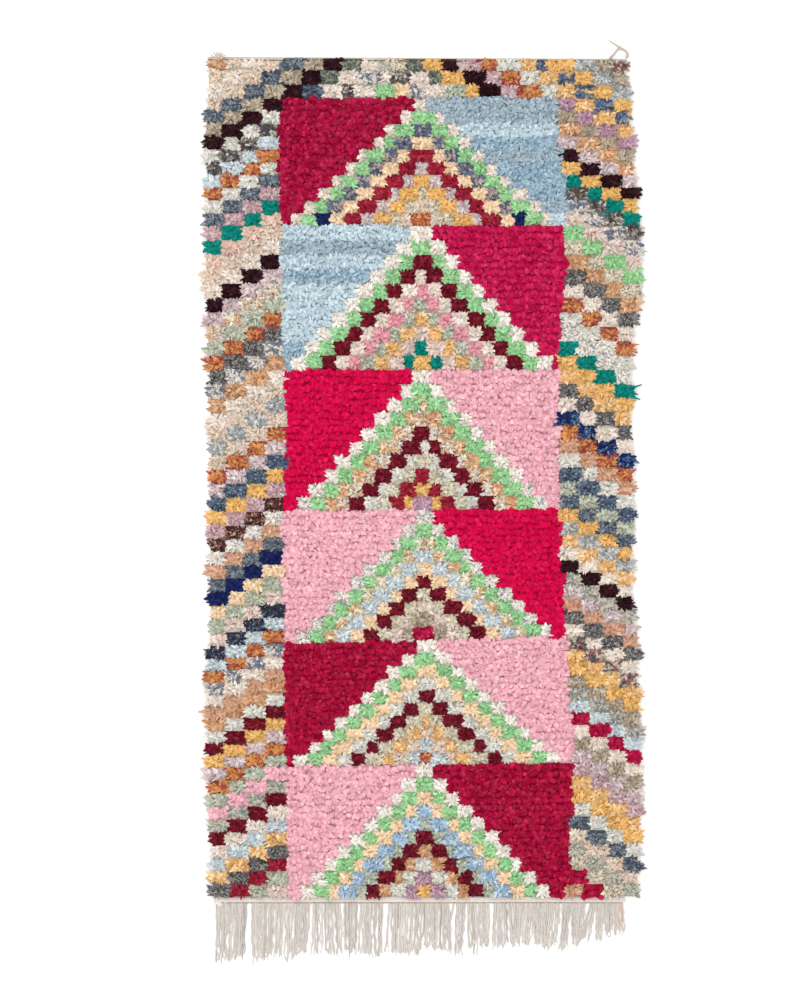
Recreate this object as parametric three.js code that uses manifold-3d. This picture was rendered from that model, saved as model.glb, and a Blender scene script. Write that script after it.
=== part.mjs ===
// A boucherouite rug: rows of rag knots on a woven ground, closed by a plain selvedge at one end and by a
// flat-woven heading with a warp fringe at the other. It lies flat, pile up.
// Millimetres, +Z up. X runs across the rug, +Y points to the plain end, and the underside is on Z = 0.

import * as THREE from "three";
import { mergeVertices } from "three/addons/utils/BufferGeometryUtils.js";
import Module from "manifold-3d";

const PIECE_GAP = 0.3;

// Bands of the knotted field from the plain end to the fringed end. A row of colour is two rows of knots.
// slant is how much higher the band's far edge lies at the right-hand rim than at the left-hand one.
const PLAIN_END_SLANT = -5;
const BANDS = [
  { band: "stepped border", colourRows: 3, length: 92, slant: 0 },
  { band: "panel 1", colourRows: 10, length: 297, slant: 0 },
  { band: "panel 2", colourRows: 10, length: 331, slant: 1 },
  { band: "panel 3", colourRows: 10, length: 322, slant: 8 },
  { band: "panel 4", colourRows: 10, length: 299, slant: 25 },
  { band: "panel 5", colourRows: 10, length: 285, slant: 14 },
  { band: "panel 6", colourRows: 10, length: 304, slant: 0 },
];
const FIELD_LENGTH = BANDS.reduce((sum, { length }) => sum + length, 0);

// How far the rim reaches to each side of the centre line, by distance from the plain end.
const RIM = [
  { along: 0, left: 498, right: 473 },
  { along: 180, left: 504, right: 490 },
  { along: 345, left: 500, right: 502 },
  { along: 485, left: 505, right: 512 },
  { along: 650, left: 500, right: 493 },
  { along: 760, left: 494, right: 484 },
  { along: 955, left: 493, right: 493 },
  { along: 1175, left: 495, right: 489 },
  { along: 1285, left: 493, right: 493 },
  { along: 1480, left: 500, right: 507 },
  { along: 1670, left: 497, right: 512 },
  { along: 1835, left: 489, right: 507 },
  { along: FIELD_LENGTH, left: 488, right: 500 },
];

// Heights of the pile, and how it falls away at its rim and its two ends.
const PILE = {
  crest: 25, // along the middle of a row of knots
  valley: 18, // between two rows of knots
  lump: 2.2, // rise or fall of a crest from tuft to tuft
  swell: 1.3, // slow rise and fall over the whole rug
  swellLength: 190, // of rug for each radian of the swell
  swellStep: 0.9, // radians of the swell from column to column
  rim: 17, // in the outermost column
  end: 11, // at the first and the last line
  columns: 12,
};

// Locks at the rim: the ends of each row of colour stand out past the notches between the rows.
const LOCK = {
  tipInset: 2, // from the rim's line
  shoulderInset: 7,
  notchInset: 12,
  scatter: 3,
  tipHeight: 5,
  notchHeight: 8,
  droop: 1, // rise or fall of either
  topInset: 15,
  footInset: 17,
};

// Flat-woven heading below the last row of knots: weft cords side by side. slope is the share of a cord's
// width at each side that falls away to the valley.
const HEADING = { left: 484, right: 492, cords: 3, cordPitch: 3.8, cordTop: 4, cordValley: 3, slope: 0.25 };

// Warp fringe: yarns in clumps, lying on the floor.
const FRINGE = {
  left: -474,
  right: 464,
  clumps: 33,
  yarnsPerClump: 4,
  yarnWidth: 4.4,
  yarnHeight: 3.6,
  steps: 3,
  gather: 0.25, // how much of its distance to the clump's middle a yarn loses by its tip
  sway: 3, // sideways drift of a clump's tips
  wave: 1.8,
  waveTurn: 5, // radians of the wave from root to tip
  taper: 0.22,
  lengthScatter: 0.07,
};

// Length of the fringe below the heading, by place across the rug.
const FRINGE_LENGTH = [
  { across: -477, length: 125 },
  { across: -290, length: 124 },
  { across: -20, length: 121 },
  { across: 45, length: 109 },
  { across: 165, length: 101 },
  { across: 300, length: 90 },
  { across: 430, length: 87 },
  { across: 466, length: 72 },
];

// Plain end: a narrow selvedge, a short tuft of cut warps at its left and a loose knotted loop at its right.
const SELVEDGE = { left: 492, right: 472, width: 5, height: 4 };
const TUFT = {
  cords: 6,
  across: -461,
  spread: 13, // between the outermost roots
  fan: 24, // between the outermost tips
  length: 12,
  lengthScatter: 0.15,
  width: 1.7,
  height: 2,
  taper: 0.4,
};
const LOOP_CORD = { width: 4, height: 3.4, knotLength: 5.7, knotWidth: 5, knotHeight: 4 };
const LOOP_PATH = [
  { leg: "left", points: [[433, 1.6], [441, 8], [447, 16], [455, 23.5]] },
  { leg: "free end", points: [[455, 23.5], [447, 30], [439, 35], [430.8, 42]] },
  { leg: "right", points: [[455, 23.5], [464, 20], [472, 14], [475, 7], [469, 1.6]] },
];

const FINISH = {
  pile: { color: 0xc2185a, roughness: 0.95 },
  heading: { color: 0xe6dccf, roughness: 0.9 },
  selvedge: { color: 0xe8ddd0, roughness: 0.9 },
};

// Repeatable random numbers from 0 to 1.
function randomSource(seed) {
  let state = seed;
  return () => {
    state = (state + 0x6d2b79f5) | 0;
    let mixed = Math.imul(state ^ (state >>> 15), 1 | state);
    mixed = (mixed + Math.imul(mixed ^ (mixed >>> 7), 61 | mixed)) ^ mixed;
    return ((mixed ^ (mixed >>> 14)) >>> 0) / 4294967296;
  };
}

const random = randomSource(41);
const scatter = (reach) => (random() * 2 - 1) * reach;

// Value of one column of a table at a place, along straight lines between its rows.
function tableAt(table, key, column, place) {
  const next = table.findIndex((row) => row[key] >= place);
  if (next === 0) return table[0][column];
  if (next < 0) return table.at(-1)[column];
  const before = table[next - 1];
  const after = table[next];
  const share = (place - before[key]) / (after[key] - before[key]);
  return THREE.MathUtils.lerp(before[column], after[column], share);
}

// Triangles between each ring of points and the next.
function wall(rings) {
  const faces = [];
  for (let r = 1; r < rings.length; r++)
    rings[r].forEach((d, k) => {
      const next = (k + 1) % rings[r].length;
      const [a, b, c] = [rings[r - 1][k], rings[r - 1][next], rings[r][next]];
      faces.push([a, b, c], [a, c, d]);
    });
  return faces;
}

// Triangles that fill a flat outline, wound as it is. flatten gives a point's place in the outline's plane.
function fill(outline, flatten) {
  const flat = outline.map(flatten);
  const clockwise = THREE.ShapeUtils.isClockWise(flat);
  return THREE.ShapeUtils.triangulateShape(flat, []).map((corners) => {
    const turned = THREE.ShapeUtils.isClockWise(corners.map((corner) => flat[corner])) !== clockwise;
    return (turned ? corners.reverse() : corners).map((corner) => outline[corner]);
  });
}

// Body of triangles that close, turned to face outwards.
function shell(faces) {
  const volume = faces.reduce((sum, [a, b, c]) => sum + a.dot(b.clone().cross(c)), 0);
  const outward = volume < 0 ? faces.map(([a, b, c]) => [a, c, b]) : faces;
  const loose = new THREE.BufferGeometry();
  const positions = outward.flat().flatMap((point) => point.toArray());
  loose.setAttribute("position", new THREE.Float32BufferAttribute(positions, 3));
  return mergeVertices(loose, 1e-4);
}

const fromFront = (point) => new THREE.Vector2(point.x, point.z);
const fromAbove = (point) => new THREE.Vector2(point.x, point.y);
const fromEnd = (point) => new THREE.Vector2(point.y, point.z);

// Sideways direction at each step of a path in plan.
function sidewaysAlong(path) {
  return path.map((_, i) => {
    const ahead = path[Math.min(i + 1, path.length - 1)];
    const behind = path[Math.max(i - 1, 0)];
    return ahead.clone().sub(behind).normalize().rotateAround(new THREE.Vector2(), Math.PI / 2);
  });
}

// Rings of one section along a path in plan. The section's points are sideways and upwards distances, and
// taper is the share of its size that is lost by the far end.
function sectionRings(path, sideways, section, taper) {
  return path.map((place, i) => {
    const size = 1 - (taper * i) / (path.length - 1);
    return section.map(([side, up]) => {
      const { x, y } = sideways[i].clone().multiplyScalar(side * size).add(place);
      return new THREE.Vector3(x, y, up * size);
    });
  });
}

// Closed strip of one section along a path in plan.
function sweep(path, section, taper = 0) {
  const sideways = sidewaysAlong(path);
  const rings = sectionRings(path, sideways, section, taper);
  const across = (direction) => (point) =>
    new THREE.Vector2(point.x * direction.x + point.y * direction.y, point.z);
  return shell([
    ...wall(rings),
    ...fill([...rings[0]].reverse(), across(sideways[0])),
    ...fill(rings.at(-1), across(sideways.at(-1))),
  ]);
}

// Section of a cord that lies on the floor, flat below and narrower on top.
const CORD_TOP_SHARE = 0.6;
const cordSection = (width, height) => [
  [-width / 2, 0],
  [width / 2, 0],
  [(width / 2) * CORD_TOP_SHARE, height],
  [(-width / 2) * CORD_TOP_SHARE, height],
];

const wasm = await Module();
wasm.setup();

function toSolid(geometry) {
  const bare = geometry.clone();
  bare.deleteAttribute("normal");
  bare.deleteAttribute("uv");
  const merged = mergeVertices(bare, 1e-4);
  const vertProperties = merged.attributes.position.array;
  const triVerts = new Uint32Array(merged.index.array);
  return new wasm.Manifold(new wasm.Mesh({ numProp: 3, vertProperties, triVerts }));
}

// One body from several that run into each other.
function joined(geometries) {
  const body = geometries.map(toSolid).reduce((all, one) => all.add(one));
  const mesh = body.getMesh();
  const geometry = new THREE.BufferGeometry();
  geometry.setAttribute("position", new THREE.BufferAttribute(mesh.vertProperties, 3));
  geometry.setIndex(new THREE.BufferAttribute(mesh.triVerts, 1));
  return geometry;
}

function namedMesh(name, geometry, finish) {
  geometry.computeVertexNormals();
  const mesh = new THREE.Mesh(geometry, new THREE.MeshStandardMaterial({ ...finish, metalness: 0 }));
  mesh.name = name;
  return mesh;
}

// Lines across the field: a notch, a crest, a valley and a crest for each row of colour, then a last notch.
function fieldLines() {
  const lines = [];
  let start = 0;
  let slantBefore = PLAIN_END_SLANT;
  for (const { colourRows, length, slant } of BANDS) {
    for (let quarter = 0; quarter < colourRows * 4; quarter++) {
      const share = quarter / (colourRows * 4);
      lines.push({
        along: start + length * share,
        slant: THREE.MathUtils.lerp(slantBefore, slant, share),
        kind: ["notch", "crest", "valley", "crest"][quarter % 4],
      });
    }
    start += length;
    slantBefore = slant;
  }
  lines.push({ along: FIELD_LENGTH, slant: slantBefore, kind: "notch" });
  return lines;
}

function rimAt(along) {
  return { left: tableAt(RIM, "along", "left", along), right: tableAt(RIM, "along", "right", along) };
}

// Where a slanting line lies at a place across the rug, along the rug's length.
function lineY({ along, slant }, x) {
  const { left, right } = rimAt(along);
  return -along + slant * ((x + left) / (left + right) - 0.5);
}

function pileHeight({ kind, along }, column, atEnd) {
  if (atEnd) return PILE.end;
  if (column === 0 || column === PILE.columns) return PILE.rim + scatter(PILE.lump / 2);
  const swell = PILE.swell * Math.sin(along / PILE.swellLength + column * PILE.swellStep);
  const base = kind === "crest" ? PILE.crest : PILE.valley;
  return base + swell + scatter(kind === "crest" ? PILE.lump : PILE.lump / 2);
}

// One side of a line's section: its foot on the floor and its lock's point.
function rimPoints(line, side, reach) {
  const inset = { notch: LOCK.notchInset, crest: LOCK.shoulderInset, valley: LOCK.tipInset }[line.kind];
  const lockX = side * (reach - inset - random() * LOCK.scatter);
  const lockZ = (line.kind === "valley" ? LOCK.tipHeight : LOCK.notchHeight) + scatter(LOCK.droop);
  const foot = new THREE.Vector3(side * (reach - LOCK.footInset), 0, 0);
  const lock = new THREE.Vector3(lockX, 0, lockZ);
  return [foot, lock].map((point) => point.setY(lineY(line, point.x)));
}

function pileField() {
  const lines = fieldLines();
  const rings = lines.map((line, i) => {
    const { left, right } = rimAt(line.along);
    const atEnd = i === 0 || i === lines.length - 1;
    const top = [];
    for (let column = 0; column <= PILE.columns; column++) {
      const x = THREE.MathUtils.lerp(LOCK.topInset - left, right - LOCK.topInset, column / PILE.columns);
      top.push(new THREE.Vector3(x, lineY(line, x), pileHeight(line, column, atEnd)));
    }
    const [leftFoot, leftLock] = rimPoints(line, -1, left);
    const [rightFoot, rightLock] = rimPoints(line, 1, right);
    return [leftFoot, rightFoot, rightLock, ...top.reverse(), leftLock];
  });
  const ends = [...fill([...rings[0]].reverse(), fromFront), ...fill(rings.at(-1), fromFront)];
  return shell([...wall(rings), ...ends]);
}

// Outline of the heading's ribbed top, from its fringed edge to its back, as distance back and height.
function headingProfile() {
  const profile = [[0, HEADING.cordTop]];
  for (let cord = 0; cord < HEADING.cords; cord++) {
    const start = cord * HEADING.cordPitch;
    const fall = HEADING.cordPitch * HEADING.slope;
    if (cord > 0) profile.push([start, HEADING.cordValley], [start + fall, HEADING.cordTop]);
    profile.push([start + HEADING.cordPitch - fall, HEADING.cordTop]);
  }
  const back = HEADING.cords * HEADING.cordPitch;
  return [...profile, [back, HEADING.cordValley], [back, 0]];
}

// Path in plan of each warp yarn of the fringe, from its root at the heading's edge to its tip.
function fringePaths(rootY) {
  const pitch = (FRINGE.right - FRINGE.left) / (FRINGE.clumps * FRINGE.yarnsPerClump - 1);
  const paths = [];
  for (let clump = 0; clump < FRINGE.clumps; clump++) {
    const first = FRINGE.left + pitch * clump * FRINGE.yarnsPerClump;
    const middle = first + (pitch * (FRINGE.yarnsPerClump - 1)) / 2;
    const sway = scatter(FRINGE.sway);
    const phase = scatter(Math.PI);
    for (let yarn = 0; yarn < FRINGE.yarnsPerClump; yarn++) {
      const root = first + pitch * yarn;
      const length = tableAt(FRINGE_LENGTH, "across", "length", root) * (1 + scatter(FRINGE.lengthScatter));
      const path = Array.from({ length: FRINGE.steps + 1 }, (_, step) => {
        const share = step / FRINGE.steps;
        const wave = FRINGE.wave * Math.sin(share * FRINGE.waveTurn + phase);
        const drift = (sway + wave + (middle - root) * FRINGE.gather) * share;
        return new THREE.Vector2(root + drift, rootY - length * share);
      });
      paths.push(path);
    }
  }
  return paths;
}

// Flat-woven heading with the fringe growing out of its edge as one body.
function headingWithFringe() {
  const edge = -FIELD_LENGTH - PIECE_GAP - HEADING.cords * HEADING.cordPitch;
  const section = [[-FRINGE.yarnWidth / 2, 0], [FRINGE.yarnWidth / 2, 0], [0, FRINGE.yarnHeight]];
  const yarns = fringePaths(edge).map((path) => {
    const sideways = [new THREE.Vector2(1, 0), ...sidewaysAlong(path).slice(1)];
    return sectionRings(path, sideways, section, FRINGE.taper);
  });
  const profile = headingProfile();
  const across = (x) => profile.map(([back, up]) => new THREE.Vector3(x, edge + back, up));
  const left = across(-HEADING.left);
  const right = across(HEADING.right);
  const [leftFoot, rightFoot] = [left[0], right[0]].map((top) => top.clone().setZ(0));

  const roots = yarns.map(([[from, to, peak]]) => ({ from, to, peak }));
  const frontFoot = [leftFoot, ...roots.flatMap(({ from, peak, to }) => [from, peak, to]), rightFoot];
  const underFoot = [rightFoot, ...roots.toReversed().flatMap(({ from, to }) => [to, from]), leftFoot];
  const faces = [
    ...fill([...frontFoot, right[0], left[0]], fromFront),
    ...fill([...underFoot, left.at(-1), right.at(-1)], fromAbove),
    ...fill([leftFoot, ...left], fromEnd),
    ...fill([rightFoot, ...right].reverse(), fromEnd),
    ...yarns.flatMap((rings) => [...wall(rings), ...fill(rings.at(-1), fromFront)]),
  ];
  for (let i = 1; i < profile.length; i++)
    faces.push([left[i - 1], right[i - 1], right[i]], [left[i - 1], right[i], left[i]]);
  return shell(faces);
}

// Place on the selvedge's middle line.
function selvedgeY(x) {
  return lineY({ along: 0, slant: PLAIN_END_SLANT }, x) + PIECE_GAP + SELVEDGE.width / 2;
}

function selvedge() {
  const ends = [-SELVEDGE.left, SELVEDGE.right].map((x) => new THREE.Vector2(x, selvedgeY(x)));
  return sweep(ends, cordSection(SELVEDGE.width, SELVEDGE.height));
}

function cornerTuft() {
  const root = new THREE.Vector2(TUFT.across, selvedgeY(TUFT.across));
  return Array.from({ length: TUFT.cords }, (_, cord) => {
    const share = cord / (TUFT.cords - 1) - 0.5;
    const start = new THREE.Vector2(root.x + share * TUFT.spread, root.y);
    const length = TUFT.length * (1 + scatter(TUFT.lengthScatter));
    const tip = new THREE.Vector2(root.x + share * TUFT.fan, root.y + length);
    return sweep([start, tip], cordSection(TUFT.width, TUFT.height), TUFT.taper);
  });
}

function knottedLoop() {
  const section = cordSection(LOOP_CORD.width, LOOP_CORD.height);
  const legs = LOOP_PATH.map(({ points }) => sweep(points.map(([x, y]) => new THREE.Vector2(x, y)), section));
  const [knotX, knotY] = LOOP_PATH[0].points.at(-1);
  const knot = new THREE.IcosahedronGeometry(1, 0);
  knot.scale(LOOP_CORD.knotLength, LOOP_CORD.knotWidth, LOOP_CORD.knotHeight);
  knot.computeBoundingBox();
  knot.translate(knotX, knotY, -knot.boundingBox.min.z);
  return [...legs, knot];
}

const rug = new THREE.Group();
rug.add(
  namedMesh("pile_field", pileField(), FINISH.pile),
  namedMesh("heading_fringe", headingWithFringe(), FINISH.heading),
  namedMesh("plain_end_selvedge", joined([selvedge(), ...cornerTuft(), ...knottedLoop()]), FINISH.selvedge),
);

// The part's origin is under the middle of its box.
const box = new THREE.Box3().setFromObject(rug);
rug.position.set(-(box.min.x + box.max.x) / 2, -(box.min.y + box.max.y) / 2, -box.min.z);

const part = new THREE.Group();
part.add(rug);

export default part;
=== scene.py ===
"""Dresses a boucherouite rug: rag pile, ground weave, heading, warp fringe and plain end.

The rug lies flat with its pile up and is seen from straight above. Places on it are given as a
distance across from its centre line, positive to the right, and a distance along from its plain end.
Both are in metres.
"""

from __future__ import annotations

import logging
import math
from dataclasses import dataclass
from enum import Enum

import bpy
import numpy as np
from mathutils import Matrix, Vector

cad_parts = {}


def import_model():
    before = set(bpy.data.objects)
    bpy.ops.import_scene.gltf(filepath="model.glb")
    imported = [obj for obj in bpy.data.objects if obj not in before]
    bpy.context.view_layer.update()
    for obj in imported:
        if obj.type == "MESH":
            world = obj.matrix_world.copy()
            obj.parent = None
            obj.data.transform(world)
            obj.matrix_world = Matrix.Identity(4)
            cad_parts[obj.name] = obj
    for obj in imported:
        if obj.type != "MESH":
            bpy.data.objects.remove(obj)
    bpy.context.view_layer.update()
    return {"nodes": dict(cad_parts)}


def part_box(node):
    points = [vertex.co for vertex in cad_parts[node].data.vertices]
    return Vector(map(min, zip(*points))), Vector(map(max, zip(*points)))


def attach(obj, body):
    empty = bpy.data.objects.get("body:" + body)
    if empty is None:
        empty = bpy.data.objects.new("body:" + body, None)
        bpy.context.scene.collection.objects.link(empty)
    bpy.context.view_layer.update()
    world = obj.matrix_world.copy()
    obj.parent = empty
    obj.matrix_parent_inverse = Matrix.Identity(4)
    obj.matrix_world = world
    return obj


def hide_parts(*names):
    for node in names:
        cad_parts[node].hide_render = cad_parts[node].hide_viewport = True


LOG = logging.getLogger("boucherouite_rug")

Colour = tuple[int, int, int]
# Rows of a table, each with a value for every column.
Rows = tuple[tuple[float, ...], ...]
# Values to the left and to the right.
Sides = tuple[np.ndarray, np.ndarray]
# One value, or one for each place.
Size = np.ndarray | float
MM = 0.001


def linear(colour: Colour) -> tuple[float, float, float, float]:
    """Turn an 8-bit screen colour into the linear colour, with an alpha of 1, that a shader wants."""
    parts = np.array(colour, float) / 255
    low = parts / 12.92
    high = ((parts + 0.055) / 1.055) ** 2.4
    red, green, blue = np.where(parts <= 0.04045, low, high)
    return float(red), float(green), float(blue), 1.0


@dataclass(frozen=True)
class Cut:
    """How a cloth's strips are cut and how they lie.

    Attributes:
        width: Usual width of the folded strip.
        tip: Width of its tip, as a share of that.
        length: Usual length in plan.
        crowding: How much closer than usual its knots sit.
        rumple: Twist of the strips about their own line, in radians.
        fold: How deep the strip is folded along its middle, as a share of its width.
        stagger: How far its knots stray from their row, as a standard deviation.
    """

    width: float
    tip: float
    length: float
    crowding: float = 1.0
    rumple: float = 0.3
    fold: float = 0.16
    stagger: float = 1.0 * MM


LEAF = Cut(8.8 * MM, 0.3, 17.5 * MM, crowding=1.85, rumple=0.4, fold=0.16)
FACET = Cut(11.5 * MM, 0.72, 14 * MM, crowding=1.8, rumple=0.26, fold=0.1, stagger=2.3 * MM)
PUFF = Cut(11 * MM, 0.62, 16 * MM, crowding=1.95, rumple=0.26, fold=0.12, stagger=3.0 * MM)
STRING = Cut(8.2 * MM, 0.6, 18 * MM, crowding=2.3, rumple=0.3, fold=0.1, stagger=4.4 * MM)


@dataclass(frozen=True)
class Rag:
    """Cloth that one run of knots was cut from.

    Attributes:
        shades: Colours of its strips, each as likely as the next.
        uneven: How far a strip may be lighter or darker than its shade, as a share.
        fleck: Colour of the print or marl on it.
        fleck_share: Share of the cloth that the fleck covers.
        fleck_size: Length of one fleck, in millimetres.
        cut: How its strips are cut.
        fade_and_highlight: How far the palest strips' tips have paled, as a share: partly real fading, partly
            a painted highlight on the tips.
    """

    shades: tuple[Colour, ...]
    uneven: float = 0.09
    fleck: Colour = (240, 236, 228)
    fleck_share: float = 0.0
    fleck_size: float = 3
    cut: Cut = LEAF
    fade_and_highlight: float = 0.05


class Stock(Enum):
    """Rags in the weaver's basket, by plain colour names."""

    CRIMSON = Rag(((164, 6, 57), (152, 0, 49), (178, 20, 70)), 0.08, cut=FACET, fade_and_highlight=0.07)
    DEEP_CRIMSON = Rag(((166, 4, 54), (154, 0, 46), (176, 16, 64)), 0.10, cut=FACET, fade_and_highlight=0.06)
    BERRY = Rag(((190, 14, 75), (180, 6, 67), (200, 30, 87)), 0.08, cut=FACET, fade_and_highlight=0.07)
    HOT_RED = Rag(((208, 0, 71), (200, 0, 63), (216, 8, 81)), 0.07, cut=FACET, fade_and_highlight=0.03)
    PINK = Rag(((233, 176, 187), (226, 168, 180), (239, 186, 196)), 0.05, cut=PUFF, fade_and_highlight=0.03)
    BLUSH = Rag(((220, 200, 188), (226, 210, 200), (210, 186, 176)), 0.08)
    ROSE = Rag(((226, 160, 170), (218, 150, 162)), 0.08)
    PALE_BLUE = Rag(((190, 207, 215), (182, 200, 209), (199, 215, 222)), 0.06, cut=STRING)
    GREY_BLUE = Rag(((161, 179, 189), (151, 169, 180), (171, 188, 197)), 0.07, cut=STRING)
    MID_BLUE = Rag(((152, 177, 193), (142, 167, 184), (163, 186, 199)), 0.08, cut=STRING)
    SKY = Rag(((192, 203, 207), (176, 190, 198), (206, 215, 216)), 0.08, (226, 228, 224), 0.2)
    CORN_BLUE = Rag(((164, 190, 212), (146, 174, 200), (186, 204, 216)), 0.09, (222, 226, 228), 0.1)
    GREEN = Rag(((155, 206, 150), (143, 194, 138), (165, 212, 158)), 0.09)
    CREAM = Rag(((227, 214, 202), (233, 222, 212), (219, 204, 190)), 0.07)
    WHITE = Rag(((235, 227, 217), (227, 217, 206), (241, 235, 227)), 0.07)
    CREAM_PEACH = Rag(((221, 202, 184), (223, 197, 176), (213, 201, 185)), 0.08, (160, 140, 120), 0.12, 2)
    WHITE_GREY = Rag(((219, 215, 205), (205, 204, 195), (225, 221, 211)), 0.08, (150, 154, 146), 0.08, 2)
    PEACH = Rag(((236, 208, 172), (229, 199, 162), (240, 215, 183)), 0.07)
    PEACH_PINK = Rag(((222, 192, 176), (212, 178, 162), (228, 204, 190)), 0.08)
    MUSTARD = Rag(((226, 179, 110), (218, 170, 98), (234, 189, 122)), 0.08)
    MUSTARD_PEACH = Rag(((229, 185, 127), (236, 203, 157), (218, 170, 110)), 0.09)
    RUST = Rag(
        ((160, 76, 68), (198, 130, 76), (208, 146, 90), (178, 100, 72)),
        0.08, (206, 142, 86), 0.25, 9,
    )  # fmt: skip
    TAN = Rag(((206, 160, 134), (214, 172, 142), (196, 148, 122)), 0.08)
    TAN_ORANGE = Rag(((206, 160, 122), (188, 136, 98), (216, 178, 142)), 0.10)
    WINE = Rag(((112, 16, 34), (98, 10, 28), (126, 26, 46)), 0.13)
    WINE_RED = Rag(((154, 32, 54), (166, 42, 64), (140, 22, 44)), 0.11)
    AUBERGINE = Rag(((42, 12, 20), (34, 8, 16), (54, 20, 28)), 0.16)
    CHARCOAL = Rag(((110, 108, 106), (92, 88, 88), (72, 66, 66)), 0.10, (170, 170, 166), 0.3, 1.7)
    NAVY = Rag(((22, 36, 92), (18, 30, 80)), 0.12)
    DENIM = Rag(
        ((80, 97, 126), (66, 83, 112), (98, 114, 138), (212, 168, 108)),
        0.10, (148, 160, 176), 0.2, 2.4,
    )  # fmt: skip
    DARK_NAVY = Rag(((50, 54, 72), (64, 68, 84), (40, 42, 58)), 0.16, (150, 160, 172), 0.14, 3)
    SLATE = Rag(((84, 94, 108), (68, 78, 92), (114, 122, 132)), 0.12, (162, 168, 172), 0.24, 1.8)
    SLATE_SPECKLE = Rag(((70, 86, 108), (56, 70, 92), (88, 104, 122)), 0.12, (150, 160, 168), 0.22, 2)
    BLUE_GREY = Rag(((166, 169, 168), (148, 152, 154), (186, 185, 180)), 0.12, (226, 224, 218), 0.2)
    TEAL = Rag(((0, 136, 124), (0, 126, 115)), 0.08)
    TEAL_SPECKLE = Rag(((202, 192, 178), (186, 178, 164)), 0.08, (70, 126, 120), 0.28, 4)
    SAGE = Rag(((176, 181, 162), (162, 167, 148), (192, 195, 177)), 0.10, (216, 214, 200), 0.15)
    DARK_SAGE = Rag(((104, 112, 100), (88, 98, 90), (126, 130, 116)), 0.14, (168, 170, 156), 0.2)
    KHAKI = Rag(((170, 155, 134), (156, 141, 121), (186, 173, 153)), 0.10, (208, 199, 180), 0.15)
    OATMEAL = Rag(((206, 196, 172), (191, 181, 157), (217, 208, 188)), 0.09, (226, 220, 206), 0.15)
    LILAC = Rag(((200, 170, 172), (184, 150, 160), (212, 187, 184)), 0.10, (160, 110, 110), 0.12)
    MAUVE = Rag(((176, 138, 156), (190, 154, 168)), 0.09)
    LILAC_GREY = Rag(((206, 188, 188), (190, 168, 170), (216, 202, 200)), 0.09)
    NAVY_CREAM = Rag(((222, 212, 200), (208, 201, 192), (118, 124, 140)), 0.06, (84, 94, 120), 0.2, 2.4)
    CREAM_NAVY_SPECK = Rag(((230, 224, 214), (222, 214, 204)), 0.05, (84, 104, 144), 0.13, 3)
    CREAM_SPECKLE = Rag(((210, 198, 175), (216, 206, 187)), 0.08, (112, 110, 88), 0.2, 3)
    TAN_SPECKLE = Rag(((220, 172, 132), (208, 156, 114), (230, 206, 178)), 0.09, (118, 92, 84), 0.1)
    BROWN_SPECKLE = Rag(
        ((128, 124, 116), (86, 84, 90), (98, 70, 60), (190, 182, 170)),
        0.12, (54, 56, 66), 0.3, 4,
    )  # fmt: skip
    INK = Rag(((24, 40, 98), (20, 34, 88), (62, 88, 128)), 0.10, (128, 152, 160), 0.12, 4)
    BROWN = Rag(((80, 46, 46), (60, 36, 40), (124, 84, 76)), 0.14, (214, 180, 150), 0.16, 3)
    INDIGO_SPECKLE = Rag(
        ((94, 106, 132), (80, 94, 120), (176, 158, 148)),
        0.10, (184, 160, 150), 0.18, 2.6,
    )  # fmt: skip
    WARM_SPECKLE = Rag(((228, 221, 208), (216, 206, 190), (214, 176, 138)), 0.09, (96, 80, 76), 0.16, 3)
    CONFETTI = Rag(((232, 223, 206), (226, 208, 180), (212, 172, 122)), 0.08, (110, 138, 146), 0.12, 3)
    RED_MIX = Rag(
        ((198, 186, 172), (78, 88, 96), (158, 92, 90), (178, 166, 152)),
        0.10, (54, 60, 66), 0.2, 3,
    )  # fmt: skip
    KHAKI_SLATE = Rag(((184, 175, 163), (160, 155, 146), (136, 138, 140)), 0.12, (204, 204, 190), 0.2)


S = Stock


@dataclass(frozen=True)
class Band:
    """A run of colour rows of one height.

    Attributes:
        rows: Number of colour rows.
        length: Its length along the rug.
        slant: How much higher its far edge lies at the right-hand rim than at the left-hand one.
    """

    rows: int
    length: float
    slant: float


@dataclass(frozen=True)
class Panel:
    """A rectangle of stepped chevrons between two plain triangles, in millimetres.

    Attributes:
        apex: Place of the chevrons' points across the rug.
        step: How far each chevron moves out with each row.
        left: Rags of the left-hand triangle, one for each row or one for all.
        right: Rags of the right-hand triangle, in the same way.
        stripes: Rag and width of each chevron at the panel's last row, from the outermost one in.
        changes: Row of the panel from which one rag takes another's place: the row, the old and the new.
    """

    apex: float
    step: float
    left: tuple[Stock, ...]
    right: tuple[Stock, ...]
    stripes: tuple[tuple[Stock, float], ...]
    changes: tuple[tuple[int, Stock, Stock], ...] = ()


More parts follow.
